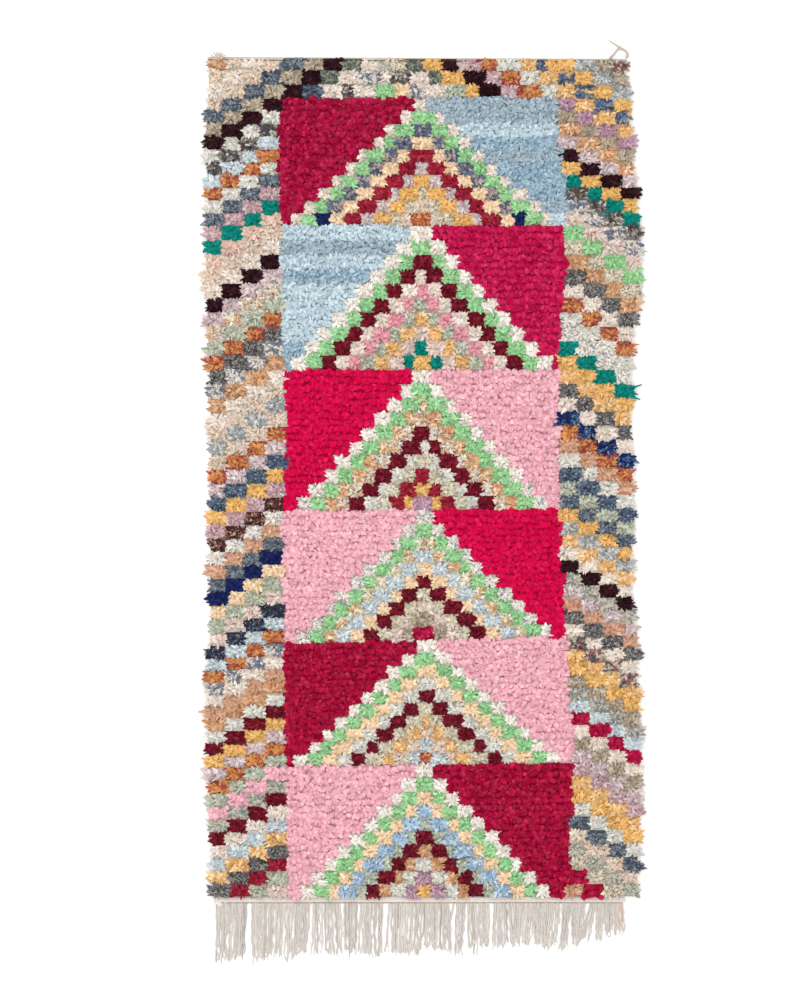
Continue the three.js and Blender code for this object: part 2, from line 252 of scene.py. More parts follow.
@dataclass(frozen=True)
class RugPlan:
    """Outline of the rug and the run of its rows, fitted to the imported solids.

    Attributes:
        centre_x: Frame X of the rug's centre line.
        plain_end_y: Frame Y of the plain end.
        plain_end_slant: Slant of the first row, as a band's.
        knot_rows: Rows of knots in each row of colour.
        bands: The rows of colour, from the plain end on.
        rim: Along, reach to the left and reach to the right, in millimetres.
        panel_edges: The same for the edges of the panels.
    """

    centre_x: float
    plain_end_y: float
    plain_end_slant: float = -5 * MM
    knot_rows: int = 2
    bands: tuple[Band, ...] = (
        Band(3, 97 * MM, 0),
        Band(10, 292 * MM, 0),
        Band(10, 331 * MM, 1 * MM),
        Band(10, 322 * MM, 8 * MM),
        Band(10, 299 * MM, 25 * MM),
        Band(10, 285 * MM, 14 * MM),
        Band(10, 304 * MM, 0),
    )
    rim: Rows = (
        (0, 486, 468),
        (14, 497, 474),
        (180, 504, 490),
        (345, 500, 502),
        (485, 505, 512),
        (650, 500, 493),
        (760, 494, 484),
        (955, 493, 493),
        (1175, 495, 489),
        (1285, 493, 493),
        (1480, 500, 507),
        (1670, 497, 512),
        (1835, 489, 507),
        (1930, 488, 500),
    )
    panel_edges: Rows = (
        (92, 321, 312),
        (220, 330, 314),
        (345, 325, 337),
        (392, 323, 323),
        (480, 323, 334),
        (700, 315, 310),
        (870, 310, 315),
        (1040, 316, 316),
        (1100, 322, 316),
        (1340, 314, 331),
        (1500, 315, 341),
        (1630, 313, 346),
        (1720, 309, 348),
        (1930, 309, 327),
    )

    @property
    def length(self) -> float:
        """Length of the knotted field."""
        return sum(band.length for band in self.bands)

    @property
    def colour_rows(self) -> int:
        """Number of colour rows from end to end."""
        return sum(band.rows for band in self.bands)

    def row_edges(self) -> np.ndarray:
        """Give the start of each colour row along the rug, and the end of the last one."""
        edges = [0.0]
        for band in self.bands:
            start = edges[-1]
            edges += [start + band.length * (row + 1) / band.rows for row in range(band.rows)]
        return np.array(edges)

    def slant(self, along: Size) -> np.ndarray:
        """Give how much higher a row lies at the right-hand rim than at the left-hand one."""
        ends = np.cumsum([0.0] + [band.length for band in self.bands])
        slants = [self.plain_end_slant] + [band.slant for band in self.bands]
        return np.interp(along, ends, slants)

    @staticmethod
    def both_sides(rows: Rows, along: Size) -> Sides:
        """Read a table's left-hand and right-hand reach at a place along the rug."""
        table, place = np.array(rows), np.asarray(along) / MM
        left, right = (np.interp(place, table[:, 0], table[:, column]) * MM for column in (1, 2))
        return left, right

    def reach(self, along: Size) -> Sides:
        """Give the rim's reach to the left and to the right at a place along the rug."""
        return self.both_sides(self.rim, along)

    def panel_reach(self, along: Size) -> Sides:
        """Give the panels' reach to the left and to the right at a place along the rug."""
        return self.both_sides(self.panel_edges, along)

    def between_rims(self, share: np.ndarray, along: np.ndarray, inset: float) -> np.ndarray:
        """Give places across the rug as shares of its width, less an inset at both rims."""
        left, right = self.reach(along)
        return (inset - left) * (1 - share) + (right - inset) * share

    def to_frame(self, across: np.ndarray, along: Size) -> tuple[np.ndarray, np.ndarray]:
        """Turn places on the rug into frame X and Y."""
        left, right = self.reach(along)
        share = (across + left) / (left + right) - 0.5
        return self.centre_x + across, self.plain_end_y - along + self.slant(along) * share

    def place(self, across: np.ndarray, along: Size, height: Size) -> np.ndarray:
        """Turn places on the rug, and heights above the floor, into points of the frame."""
        return np.stack(np.broadcast_arrays(*self.to_frame(across, along), height), -1)


class ColourChart:
    """Which rag each knot is tied from: the weaver's pattern, row by row.

    Colour rows are numbered from 1 at the plain end.

    Attributes:
        BORDER_CELLS: Cells of a side border in each row.
        cell_inset: How far inside the rim the first and the last cell are looked up.
        look_step: Distance between the places that are looked up.
        edge_shift: How far a cell's edge strays, as a standard deviation.
        rim_stray: The same for the rim.
        least_cell: Width of the narrowest cell.
    """

    BORDER_CELLS = 4
    cell_inset: float = 4 * MM
    look_step: float = 2 * MM
    edge_shift: float = 3.4 * MM
    least_cell: float = 9 * MM
    rim_stray: float = 3.6 * MM

    # Rags of the left-hand border. Each runs down and inwards, a cell for each row.
    LEFT = (
        S.TAN_ORANGE, S.CREAM_PEACH, S.CREAM, S.CREAM_PEACH, S.SLATE, S.KHAKI,
        S.AUBERGINE, S.WHITE_GREY, S.BROWN_SPECKLE, S.SKY, S.RUST, S.WHITE_GREY,
        S.SLATE, S.LILAC, S.TEAL, S.PEACH_PINK, S.CREAM_PEACH, S.CREAM,
        S.AUBERGINE, S.LILAC_GREY, S.WARM_SPECKLE, S.SAGE, S.RUST, S.CHARCOAL,
        S.NAVY_CREAM, S.TAN_ORANGE, S.CREAM, S.CREAM_PEACH, S.BLUE_GREY, S.CREAM_PEACH,
        S.RUST, S.LILAC_GREY, S.SLATE_SPECKLE, S.MUSTARD, S.LILAC, S.BROWN,
        S.CREAM_NAVY_SPECK, S.TAN, S.SLATE, S.NAVY, S.PEACH, S.SAGE,
        S.BLUSH, S.DARK_NAVY, S.SKY, S.RUST, S.NAVY_CREAM, S.CREAM,
        S.TAN, S.TAN_ORANGE, S.WHITE_GREY, S.WINE, S.MUSTARD, S.LILAC_GREY,
        S.RUST, S.SAGE, S.PINK, S.TEAL_SPECKLE, S.WINE, S.CREAM,
        S.SKY, S.MUSTARD_PEACH, S.CHARCOAL, S.WINE_RED, S.SAGE, S.BLUSH,
    )  # fmt: skip

    # Rags of the right-hand border's inner cells. Each runs down and outwards. The first three
    # are those of the stripes that start at the plain end.
    RIGHT = (
        S.RED_MIX, S.KHAKI, S.BLUE_GREY,
        S.MUSTARD, S.DENIM, S.MUSTARD_PEACH, S.MAUVE, S.KHAKI, S.TAN_SPECKLE, S.LILAC_GREY,
        S.AUBERGINE, S.MUSTARD, S.TEAL, S.BROWN_SPECKLE, S.NAVY_CREAM, S.BLUSH, S.GREEN,
        S.CREAM_SPECKLE, S.TAN_ORANGE, S.CHARCOAL, S.CREAM, S.RUST, S.WHITE_GREY, S.CREAM_NAVY_SPECK,
        S.TEAL, S.MUSTARD, S.MUSTARD_PEACH, S.CHARCOAL, S.CREAM, S.INK, S.RUST,
        S.TAN, S.WHITE_GREY, S.SLATE_SPECKLE, S.SAGE, S.SLATE, S.MUSTARD, S.BLUE_GREY,
        S.MUSTARD_PEACH, S.CREAM, S.AUBERGINE, S.TEAL_SPECKLE, S.LILAC_GREY, S.TAN, S.CHARCOAL,
        S.CREAM, S.RED_MIX, S.MUSTARD_PEACH, S.MUSTARD, S.KHAKI, S.KHAKI_SLATE, S.SKY,
        S.CRIMSON, S.CREAM, S.KHAKI, S.LILAC_GREY, S.LILAC, S.MUSTARD_PEACH, S.MUSTARD,
        S.WHITE_GREY, S.SLATE, S.CREAM_PEACH, S.TEAL_SPECKLE, S.CREAM_SPECKLE, S.DEEP_CRIMSON, S.TAN,
    )  # fmt: skip

    # The three rows above the panels, between the side borders: each rag and where it ends,
    # in millimetres from the centre line.
    TOP = (
        (
            (S.SLATE, -268), (S.KHAKI, -229), (S.AUBERGINE, -187), (S.DARK_SAGE, -137), (S.CREAM, -107),
            (S.TEAL_SPECKLE, -72), (S.CREAM_SPECKLE, -38), (S.DARK_SAGE, 8), (S.MUSTARD, 47),
            (S.AUBERGINE, 84), (S.LILAC, 128), (S.RUST, 169), (S.WHITE_GREY, 222), (S.MUSTARD_PEACH, 261),
            (S.DENIM, 286), (S.MUSTARD, 400),
        ),
        (
            (S.SLATE, -318), (S.KHAKI, -279), (S.AUBERGINE, -233), (S.DARK_SAGE, -187), (S.CREAM, -148),
            (S.NAVY_CREAM, -95), (S.CREAM, -72), (S.BROWN_SPECKLE, -22), (S.CREAM, 20), (S.DARK_SAGE, 47),
            (S.MUSTARD, 93), (S.AUBERGINE, 139), (S.LILAC, 181), (S.RUST, 222), (S.WHITE_GREY, 266),
            (S.MUSTARD_PEACH, 312), (S.DENIM, 400),
        ),
        (
            (S.SLATE, -367), (S.KHAKI, -321), (S.AUBERGINE, -275), (S.SLATE_SPECKLE, -233), (S.CREAM, -187),
            (S.BROWN_SPECKLE, -153), (S.CREAM, -107), (S.GREEN, -68), (S.PEACH, -26), (S.NAVY_CREAM, 8),
            (S.CREAM, 54), (S.SAGE, 100), (S.MUSTARD, 135), (S.AUBERGINE, 181), (S.LILAC, 220),
            (S.RUST, 273), (S.WHITE_GREY, 307), (S.MUSTARD_PEACH, 400),
        ),
    )  # fmt: skip

    PANELS = (
        Panel(
            -1, 31, (S.CRIMSON,),
            (S.GREY_BLUE, S.GREY_BLUE, S.PALE_BLUE, S.MID_BLUE, S.GREY_BLUE,
             S.MID_BLUE, S.MID_BLUE, S.MID_BLUE, S.GREY_BLUE, S.PALE_BLUE),
            ((S.CREAM, 23), (S.GREEN, 34), (S.INDIGO_SPECKLE, 31), (S.PEACH, 34),
             (S.WINE_RED, 39), (S.LILAC_GREY, 25), (S.MUSTARD, 41),
             (S.CREAM_SPECKLE, 24), (S.CREAM_PEACH, 24), (S.RUST, 46)),
            changes=((9, S.INDIGO_SPECKLE, S.NAVY),),
        ),
        Panel(
            -1, 30.4,
            (S.PALE_BLUE, S.GREY_BLUE, S.PALE_BLUE, S.MID_BLUE, S.PALE_BLUE,
             S.PALE_BLUE, S.PALE_BLUE, S.PALE_BLUE, S.MID_BLUE, S.MID_BLUE),
            (S.BERRY,),
            ((S.WHITE, 33), (S.GREEN, 34), (S.WINE, 36), (S.CREAM, 31),
             (S.ROSE, 29), (S.SAGE, 28), (S.MUSTARD_PEACH, 32), (S.BLUSH, 30),
             (S.TEAL, 30), (S.MUSTARD, 32)),
        ),
        Panel(
            1, 29.4, (S.HOT_RED,), (S.PINK,),
            ((S.WHITE, 32), (S.GREEN, 36), (S.TAN_SPECKLE, 25), (S.WARM_SPECKLE, 27),
             (S.WINE, 39), (S.WHITE_GREY, 23), (S.OATMEAL, 28), (S.WINE_RED, 34),
             (S.MUSTARD, 19), (S.MAUVE, 46)),
            changes=((8, S.WHITE, S.CREAM_NAVY_SPECK),),
        ),
        Panel(
            6, 30, (S.PINK,), (S.HOT_RED,),
            ((S.CREAM_NAVY_SPECK, 27), (S.GREEN, 32), (S.CONFETTI, 28), (S.SKY, 34),
             (S.PEACH, 25), (S.WINE, 37), (S.OATMEAL, 30), (S.BLUSH, 23),
             (S.KHAKI, 28), (S.CRIMSON, 50)),
        ),
        Panel(
            10, 31, (S.DEEP_CRIMSON,), (S.PINK,),
            ((S.WHITE, 28), (S.GREEN, 32), (S.PEACH, 39), (S.WHITE_GREY, 30),
             (S.WINE, 35), (S.OATMEAL, 37), (S.MUSTARD_PEACH, 28), (S.CREAM_PEACH, 30),
             (S.SKY, 32), (S.RUST, 24)),
        ),
        Panel(
            6, 29.4, (S.PINK,), (S.DEEP_CRIMSON,),
            ((S.WHITE, 30), (S.GREEN, 32), (S.PEACH, 28), (S.CORN_BLUE, 37),
             (S.SAGE, 23), (S.WINE, 35), (S.TAN_ORANGE, 25), (S.WHITE_GREY, 28),
             (S.MAUVE, 34), (S.MUSTARD, 28)),
        ),
    )  # fmt: skip

    def __init__(self, plan: RugPlan) -> None:
        """Keep the plan that the chart is read on."""
        self.plan = plan

    def border_rag(self, row: int, across: float, along: float) -> Stock | None:
        """Find a side border's rag at a place, or None between the two borders."""
        left, right = self.plan.reach(along)
        panel_left, panel_right = self.plan.panel_reach(along)
        last = self.BORDER_CELLS - 1
        if across < -panel_left:
            column = int(self.BORDER_CELLS * (across + left) / (left - panel_left))
            return self.LEFT[row - 1 + min(max(column, 0), last)]
        if across > panel_right:
            column = int(self.BORDER_CELLS * (across - panel_right) / (right - panel_right))
            return self.RIGHT[row + last - 1 - min(max(column, 0), last)]
        return None

    def panel_rag(self, row: int, across: float) -> Stock:
        """Find a panel's rag at a place."""
        panel_rows = self.plan.bands[1].rows
        number, step = divmod(row - 1 - self.plan.bands[0].rows, panel_rows)
        panel = self.PANELS[number]
        offset = across - panel.apex * MM
        distance = abs(offset) + panel.step * MM * (panel_rows - 1 - step)
        inner = panel.stripes[-1][1] * MM / 2
        edges = inner + np.cumsum([0.0] + [width * MM for _, width in panel.stripes[-2::-1]])
        shown = int(np.searchsorted(edges, distance))
        if shown >= len(panel.stripes):
            corner = panel.left if offset < 0 else panel.right
            return corner[step % len(corner)]
        rag = panel.stripes[len(panel.stripes) - 1 - shown][0]
        for first, old, new in panel.changes:
            if step >= first and rag is old:
                return new
        return rag

    def rag(self, row: int, across: float, along: float) -> Stock:
        """Find the rag of a knot at a place."""
        if row <= self.plan.bands[0].rows:
            left, right = self.plan.panel_reach(along)
            if -left <= across <= right:
                return next(rag for rag, end in self.TOP[row - 1] if across / MM <= end)
        return self.border_rag(row, across, along) or self.panel_rag(row, across)

    def cells(self, row: int, along: float, rng: np.random.Generator) -> list[tuple[float, float, Stock]]:
        """Cut a row of colour into its cells, with edges as uneven as hand knotting leaves them.

        Args:
            row: Colour row.
            along: Its middle, from the plain end.
            rng: Source of the unevenness.

        Returns:
            Start, end and rag of each cell, from left to right.
        """
        left, right = self.plan.reach(along)
        places = np.arange(self.cell_inset - left, right - self.cell_inset, self.look_step)
        found = [self.rag(row, float(place), along) for place in places]
        cells = []
        start = 0
        edge = float(places[0] + rng.normal(0, self.rim_stray))
        for place in range(1, len(found) + 1):
            last = place == len(found)
            if last or found[place] is not found[start]:
                end = float(places[place - 1] + self.look_step)
                stray = self.rim_stray if last else self.edge_shift
                end = max(end + float(rng.normal(0, stray)), edge + self.least_cell)
                cells.append((edge, end, found[start]))
                start, edge = place, end
        return cells


class RugPart:
    """A part of the rug, made on its plan and with random numbers of its own.

    Attributes:
        seed: Start of its random numbers.
    """

    seed: int = 0

    def __init__(self, plan: RugPlan, chart: ColourChart | None = None) -> None:
        """Keep the plan, and the chart where the part follows one."""
        self.plan = plan
        self.chart = chart
        self.rng = np.random.default_rng(self.seed)


@dataclass
class RagBatch:
    """Rag ends that become one mesh, one array entry for each.

    Attributes:
        x: Frame X of the roots.
        y: Frame Y of the roots.
        heading: Turn of each rag in plan, 0 towards the fringe and positive to the right.
        length: Length in plan.
        width: Width of the folded rag.
        tip_width: Width of its tip, as a share of that.
        fold: Depth of its fold, as a share of its width.
        lift: Height at the middle.
        tip: Height at the tip.
        roll: Turn about the rag's own line.
        bend: Sideways drift of the tip.
        colour: Linear colours.
        fleck: Linear colours of the print.
        fleck_share: Share of the cloth that the print covers.
        fleck_scale: Flecks to the metre.
        fade_and_highlight: Share of its colour that the tip gives up to fading, which also sets its painted
            highlight.
    """

    x: np.ndarray
    y: np.ndarray
    heading: np.ndarray
    length: np.ndarray
    width: np.ndarray
    tip_width: np.ndarray
    fold: np.ndarray
    lift: np.ndarray
    tip: np.ndarray
    roll: np.ndarray
    bend: np.ndarray
    colour: np.ndarray
    fleck: np.ndarray
    fleck_share: np.ndarray
    fleck_scale: np.ndarray
    fade_and_highlight: np.ndarray

    def taken(self, chosen: np.ndarray) -> RagBatch:
        """Give the batch of the chosen rags alone."""
        return RagBatch(**{name: values[chosen] for name, values in vars(self).items()})


@dataclass(frozen=True)
class RagShape:
    """Shape of one rag end: a folded strip that leaves the ground, bows over and lies on its neighbours.

    It has three rings: root, middle and tip. Each has three points: left edge, ridge of the fold and
    right edge.

    Attributes:
        stations: Place of each ring, as a share of the strip's length.
        widths: Width at the root and at the middle, as a share of the strip's.
        turns: Turn of each ring, as a share of the strip's roll.
        root_height: Height of the root.
        thickness: Thickness of the cloth.
        uneven_height: How far the middle strays in height, as a standard deviation.
        uneven_turn: How far each ring's turn strays, in radians.
        uneven_width: Least and greatest width of a ring, as a share of its own.
        ridge_lean: How far the ridge strays from the middle, as a share of the width.
        cloth_spread: How far apart the strips lie on the printed cloth.
    """

    stations: tuple[float, ...] = (0.0, 0.5, 1.0)
    widths: tuple[float, ...] = (0.75, 1.0)
    turns: tuple[float, ...] = (0.6, 1.0, 1.2)
    root_height: float = 11 * MM
    thickness: float = 1.1 * MM
    uneven_height: float = 0.7 * MM
    uneven_turn: float = 0.1
    uneven_width: tuple[float, float] = (0.88, 1.12)
    ridge_lean: float = 0.16
    cloth_spread: float = 5.0

    def lines(self, rags: RagBatch, rng: np.random.Generator) -> np.ndarray:
        """Lay the middle line of each rag, ring by ring."""
        share = np.array(self.stations)[None, :]
        cos, sin = np.cos(rags.heading)[:, None], np.sin(rags.heading)[:, None]
        run = rags.length[:, None] * share
        drift = rags.bend[:, None] * share**2
        count = len(rags.x)
        middle = rags.lift + rng.normal(0, self.uneven_height, count)
        heights = np.stack([np.full(count, self.root_height), middle, rags.tip], 1)
        x = rags.x[:, None] + run * sin + drift * cos
        y = rags.y[:, None] - run * cos + drift * sin
        return np.stack([x, y, heights], 2)

    def sweep(self, name: str, rags: RagBatch, rng: np.random.Generator) -> bpy.types.Object:
        """Give all rags of a batch their closed strips.

        Args:
            name: Name of the piece.
            rags: Where the rags stand and what they look like.
            rng: Source of the small differences between them.

        Returns:
            The strips as one mesh, whose points carry two vectors. The cloth is the place across and
            along the strip and the share of its length. The leaf is the place across from -1 to 1,
            the tip's share of fading and painted highlight, and the flecks to the metre.
        """
        count, steps = len(rags.x), len(self.stations)
        line = self.lines(rags, rng)
        side, up = frames(line)
        roll = rags.roll[:, None] * np.array(self.turns) + rng.normal(0, self.uneven_turn, (count, steps))
        across = side * np.cos(roll)[..., None] + up * np.sin(roll)[..., None]
        above = up * np.cos(roll)[..., None] - side * np.sin(roll)[..., None]

        shares = np.concatenate([np.tile(self.widths, (count, 1)), rags.tip_width[:, None]], 1)
        width = rags.width[:, None] * shares * rng.uniform(*self.uneven_width, (count, steps))
        flat = np.zeros((count, steps))
        ridge = flat + self.thickness + (rags.fold * rags.width)[:, None]
        lean = rng.normal(0, self.ridge_lean, (count, 1))
        places = ((-0.5, flat), (lean, ridge), (0.5, flat))
        sides = len(places)
        rings = [line + across * (width * out)[..., None] + above * rise[..., None] for out, rise in places]

        cloth = np.zeros((count, steps, sides, 3))
        leaf = np.zeros((count, steps, sides, 3))
        for point, (out, _) in enumerate(places):
            cloth[:, :, point, 0] = width * out
            leaf[:, :, point, 0] = 2 * out
        cloth[..., 1] = (rags.length[:, None] * np.array(self.stations))[..., None]
        cloth[..., :2] += rng.uniform(0, self.cloth_spread, (count, 1, 1, 2))
        cloth[..., 2] = np.array(self.stations)[None, :, None]
        leaf[..., 1] = rags.fade_and_highlight[:, None, None]
        leaf[..., 2] = rags.fleck_scale[:, None, None]

        rag_of = np.repeat(np.arange(count), steps * sides)
        fleck = np.concatenate([rags.fleck[:, :3], rags.fleck_share[:, None]], 1)
        return make_mesh(
            name,
            np.stack(rings, 2).reshape(-1, 3),
            *strip_faces(count, steps, sides),
            colours={"rag_colour": rags.colour[rag_of], "rag_fleck": fleck[rag_of]},
            vectors={"cloth": cloth, "leaf": leaf},
            smooth=False,
        )


def frames(line: np.ndarray) -> tuple[np.ndarray, np.ndarray]:
    """Give the unit vectors sideways and upwards at each station of some lines, one row for each."""
    tangent = np.gradient(line, axis=1)
    tangent /= np.linalg.norm(tangent, axis=2, keepdims=True)
    side = np.stack([-tangent[..., 1], tangent[..., 0], np.zeros(tangent.shape[:2])], 2)
    side /= np.linalg.norm(side, axis=2, keepdims=True).clip(1e-9)
    return side, np.cross(tangent, side)


def strip_faces(count: int, steps: int, sides: int) -> tuple[np.ndarray, np.ndarray]:
    """Number the faces of closed tubes that all have the same make-up.

    Args:
        count: Number of tubes.
        steps: Rings of each tube.
        sides: Points of each ring.

    Returns:
        Vertex of each face corner, and the number of corners of each face.
    """
    ring = np.arange(sides)
    quads = []
    for step in range(steps - 1):
        near = step * sides + ring
        following = step * sides + (ring + 1) % sides
        quads.append(np.stack([near, near + sides, following + sides, following], 1))
    quads = np.concatenate(quads)
    caps = np.stack([ring, (steps - 1) * sides + ring[::-1]])
    offsets = (np.arange(count) * steps * sides)[:, None, None]
    walls = (quads[None] + offsets).reshape(count, quads.size)
    ends = (caps[None] + offsets).reshape(count, caps.size)
    sizes = np.tile(np.r_[np.full(len(quads), 4), np.full(2, sides)], count)
    return np.concatenate([walls, ends], 1).ravel(), sizes


def make_mesh(
    name: str,
    points: np.ndarray,
    corners: np.ndarray,
    sizes: np.ndarray,
    colours: dict[str, np.ndarray] | None = None,
    vectors: dict[str, np.ndarray] | None = None,
    smooth: bool = True,
) -> bpy.types.Object:
    """Make a mesh object from arrays, with its attributes on the points.

    Args:
        name: Name of the piece.
        points: Places of the vertices.
        corners: Vertex of each face corner, face after face.
        sizes: Number of corners of each face.
        colours: Colour attributes by name.
        vectors: Vector attributes by name.
        smooth: Whether its faces are shaded as one curved surface.

    Returns:
        The new object, linked to the scene.
    """
    mesh = bpy.data.meshes.new(name)
    mesh.vertices.add(len(points))
    mesh.vertices.foreach_set("co", points.astype(np.float32).ravel())
    mesh.loops.add(len(corners))
    mesh.loops.foreach_set("vertex_index", corners.astype(np.int32))
    mesh.polygons.add(len(sizes))
    mesh.polygons.foreach_set("loop_start", np.r_[0, np.cumsum(sizes)[:-1]].astype(np.int32))
    mesh.polygons.foreach_set("use_smooth", np.full(len(sizes), smooth))
    mesh.update(calc_edges=True)
    for label, values in (colours or {}).items():
        carry(mesh, label, values, "FLOAT_COLOR", "POINT")
    for label, values in (vectors or {}).items():
        carry(mesh, label, values, "FLOAT_VECTOR", "POINT")
    mesh.validate()
    piece = bpy.data.objects.new(name, mesh)
    bpy.context.scene.collection.objects.link(piece)
    return piece


def carry(mesh: bpy.types.Mesh, name: str, values: np.ndarray, kind: str, domain: str) -> None:
    """Give a mesh an attribute of colours or vectors."""
    attribute = mesh.attributes.new(name, kind, domain)
    field = "color" if kind == "FLOAT_COLOR" else "vector"
    attribute.data.foreach_set(field, values.astype(np.float32).ravel())


# An output of a node: the node, and the number or the name of the output.
Pin = tuple[bpy.types.Node, int | str]


class Nodes:
    """A material's node tree, with short calls to add and join nodes.

    The calls that add a node give its output. A value that they take may be a number, a colour or
    another node's output.
    """

    def __init__(self, name: str) -> None:
        """Start a material with only its output and a principled shader."""
        self.material = bpy.data.materials.new(name)
        self.material.use_nodes = True
        self.tree = self.material.node_tree
        self.tree.nodes.clear()
        self.shader, bsdf = self.pin("ShaderNodeBsdfPrincipled", {}, "BSDF")
        self.pin("ShaderNodeOutputMaterial", {"Surface": (self.shader, bsdf)})

    def feed(self, node: bpy.types.Node, socket: int | str, value: object) -> None:
        """Link an output to an input, or set the input to a value of its own."""
        if isinstance(value, tuple) and isinstance(value[0], bpy.types.Node):
            self.tree.links.new(value[0].outputs[value[1]], node.inputs[socket])
        else:
            node.inputs[socket].default_value = value

    def pin(self, kind: str, inputs: dict[int | str, object], out: int | str = 0, **settings: object) -> Pin:
        """Add a node.

        Args:
            kind: Its type.
            inputs: Values of its inputs.
            out: The output to give.
            settings: Its properties by name.

        Returns:
            Its output.
        """
        node = self.tree.nodes.new(kind)
        for label, value in settings.items():
            setattr(node, label, value)
        for socket, value in inputs.items():
            self.feed(node, socket, value)
        return node, out

    def field(self, name: str, out: str = "Color") -> Pin:
        """Read an attribute of the mesh."""
        return self.pin("ShaderNodeAttribute", {}, out, attribute_name=name)

    def parts(self, vector: Pin) -> tuple[Pin, Pin, Pin]:
        """Take a vector apart."""
        node, _ = self.pin("ShaderNodeSeparateXYZ", {0: vector})
        return (node, "X"), (node, "Y"), (node, "Z")

    def math(self, operation: str, *values: object) -> Pin:
        """Reckon with numbers."""
        return self.pin("ShaderNodeMath", dict(enumerate(values)), operation=operation)

    def scaled(self, vector: Pin, factor: Pin) -> Pin:
        """Scale a colour or a vector."""
        return self.pin("ShaderNodeVectorMath", {0: vector, "Scale": factor}, operation="SCALE")

    def remap(self, value: Pin, span: tuple[float, float, float, float]) -> Pin:
        """Stretch a span of values, given by its ends, to another span."""
        return self.pin("ShaderNodeMapRange", dict(enumerate((value, *span))))

    def mix(self, share: object, first: object, second: object) -> Pin:
        """Mix two colours, the share being how much of the second one shows."""
        return self.pin("ShaderNodeMix", {0: share, 6: first, 7: second}, 2, data_type="RGBA")

    def noise(self, size: float, detail: float, vector: Pin | None = None) -> Pin:
        """Add fibres or grains of a size, on the object's own places unless a vector says otherwise."""
        vector = vector or self.pin("ShaderNodeTexCoord", {}, "Object")
        return self.pin("ShaderNodeTexNoise", {"Vector": vector, "Scale": 1 / size, "Detail": detail}, "Fac")

    def finish(
        self, colour: object, relief: Pin, strength: float, depth: float, **values: object
    ) -> bpy.types.Material:
        """Give the shader its colour and its relief.

        Args:
            colour: Base colour.
            relief: Height of the relief.
            strength: Strength of its bump.
            depth: Depth of its bump.
            values: The shader's other inputs, by name.

        Returns:
            The material.
        """
        raised = {"Height": relief, "Strength": strength, "Distance": depth}
        bump = self.pin("ShaderNodeBump", raised, "Normal")
        for label, value in {"Base Color": colour, "Normal": bump, **values}.items():
            self.feed(self.shader, label.replace("_", " "), value)
        return self.material


@dataclass(frozen=True)
class RagFinish:
    """Worn jersey and cotton rags, in colours that each strip carries.

    Attributes:
        name: Name of the material.
        roughness: How matt it is.
        sheen: Sheen of its fibres.
        rib_pitch: Distance between the jersey's ribs.
        fibre_size: Size of the mottling.
        fleck_stretch: Length of the flecks, as a share of a round one's.
        fleck_strength: How strongly a fleck shows.
        mottle: Fibre noise, and the shades that it gives.
        depth_span: Part of the strip that lies in its neighbours' shade.
        root_shade: Shade of the root.
        crease_span: Part of the strip from its middle to its edge that darkens with painted shade, as in the
            creases between strips.
        crease_shades: Painted shade at both ends of that part.
        tip_span: Part of the strip over which the colour fades and the painted highlight grows.
        tip_highlight: Painted highlight: how much lighter a tip is drawn at its full fade.
        worn_colour: Colour that the tip fades to.
    """

    name: str = "worn_rags"
    roughness: float = 0.9
    sheen: float = 0.02
    rib_pitch: float = 1.7 * MM
    fibre_size: float = 1.4 * MM
    fleck_stretch: float = 0.5
    fleck_strength: float = 0.7
    mottle: tuple[float, float, float, float] = (0.3, 0.7, 0.9, 1.07)
    depth_span: tuple[float, float] = (0.1, 0.7)
    root_shade: float = 0.88
    crease_span: tuple[float, float] = (0.62, 1.0)
    crease_shades: tuple[float, float] = (1.03, 0.85)
    tip_span: tuple[float, float] = (0.3, 0.8)
    tip_highlight: float = 3.0
    worn_colour: Colour = (246, 226, 226)

    def material(self) -> bpy.types.Material:
        """Build the material."""
        n = Nodes(self.name)
        cloth = n.field("cloth", "Vector")
        fleck = n.field("rag_fleck")
        _, _, reach = n.parts(cloth)
        across, fade_and_highlight_share, scale = n.parts(n.field("leaf", "Vector"))

        stretch = {0: n.scaled(cloth, scale), 1: (1.0, self.fleck_stretch, 0.0)}
        stretched = n.pin("ShaderNodeVectorMath", stretch, operation="MULTIPLY")
        print_cells = {"Vector": stretched, "Scale": 1.0}
        cells = n.pin("ShaderNodeTexVoronoi", print_cells, "Color", voronoi_dimensions="2D", feature="F1")
        chance = n.pin("ShaderNodeSeparateColor", {0: cells})
        printed = n.math("LESS_THAN", chance, (fleck[0], "Alpha"))
        flecked = n.mix(n.math("MULTIPLY", printed, self.fleck_strength), n.field("rag_colour"), fleck)

        fibres = n.noise(self.fibre_size, 2.0, cloth)
        depth = n.remap(reach, (*self.depth_span, self.root_shade, 1.0))
        # Painted shade: the strip darkens from its middle towards its edges, where it meets its neighbours.
        painted_crease_shade = n.remap(n.math("ABSOLUTE", across), (*self.crease_span, *self.crease_shades))
        shade = n.math("MULTIPLY", n.math("MULTIPLY", n.remap(fibres, self.mottle), depth), painted_crease_shade)
        toned = n.scaled(flecked, shade)
        # The tip pales with real fading and is also scaled lighter: a painted highlight for the light on the
        # upturned tips.
        tip_fade_and_highlight = n.math("MULTIPLY", n.remap(reach, (*self.tip_span, 0.0, 1.0)), fade_and_highlight_share)
        lit = n.scaled(toned, n.math("MULTIPLY_ADD", tip_fade_and_highlight, self.tip_highlight, 1.0))
        fade_and_highlight = n.mix(n.math("MULTIPLY", tip_fade_and_highlight, 0.5), lit, linear(self.worn_colour))

        jersey = {"Vector": cloth, "Scale": 0.5 / self.rib_pitch / math.pi, "Distortion": 1.5}
        ribs = n.pin("ShaderNodeTexWave", jersey, "Fac", wave_type="BANDS", bands_direction="X")
        relief = n.math("MULTIPLY_ADD", ribs, 0.5, fibres)
        gloss = {"Roughness": self.roughness, "Sheen_Roughness": 0.5, "Specular_IOR_Level": 0.06}
        return n.finish(fade_and_highlight, relief, 0.3, 0.5 * MM, Sheen_Weight=self.sheen, **gloss)


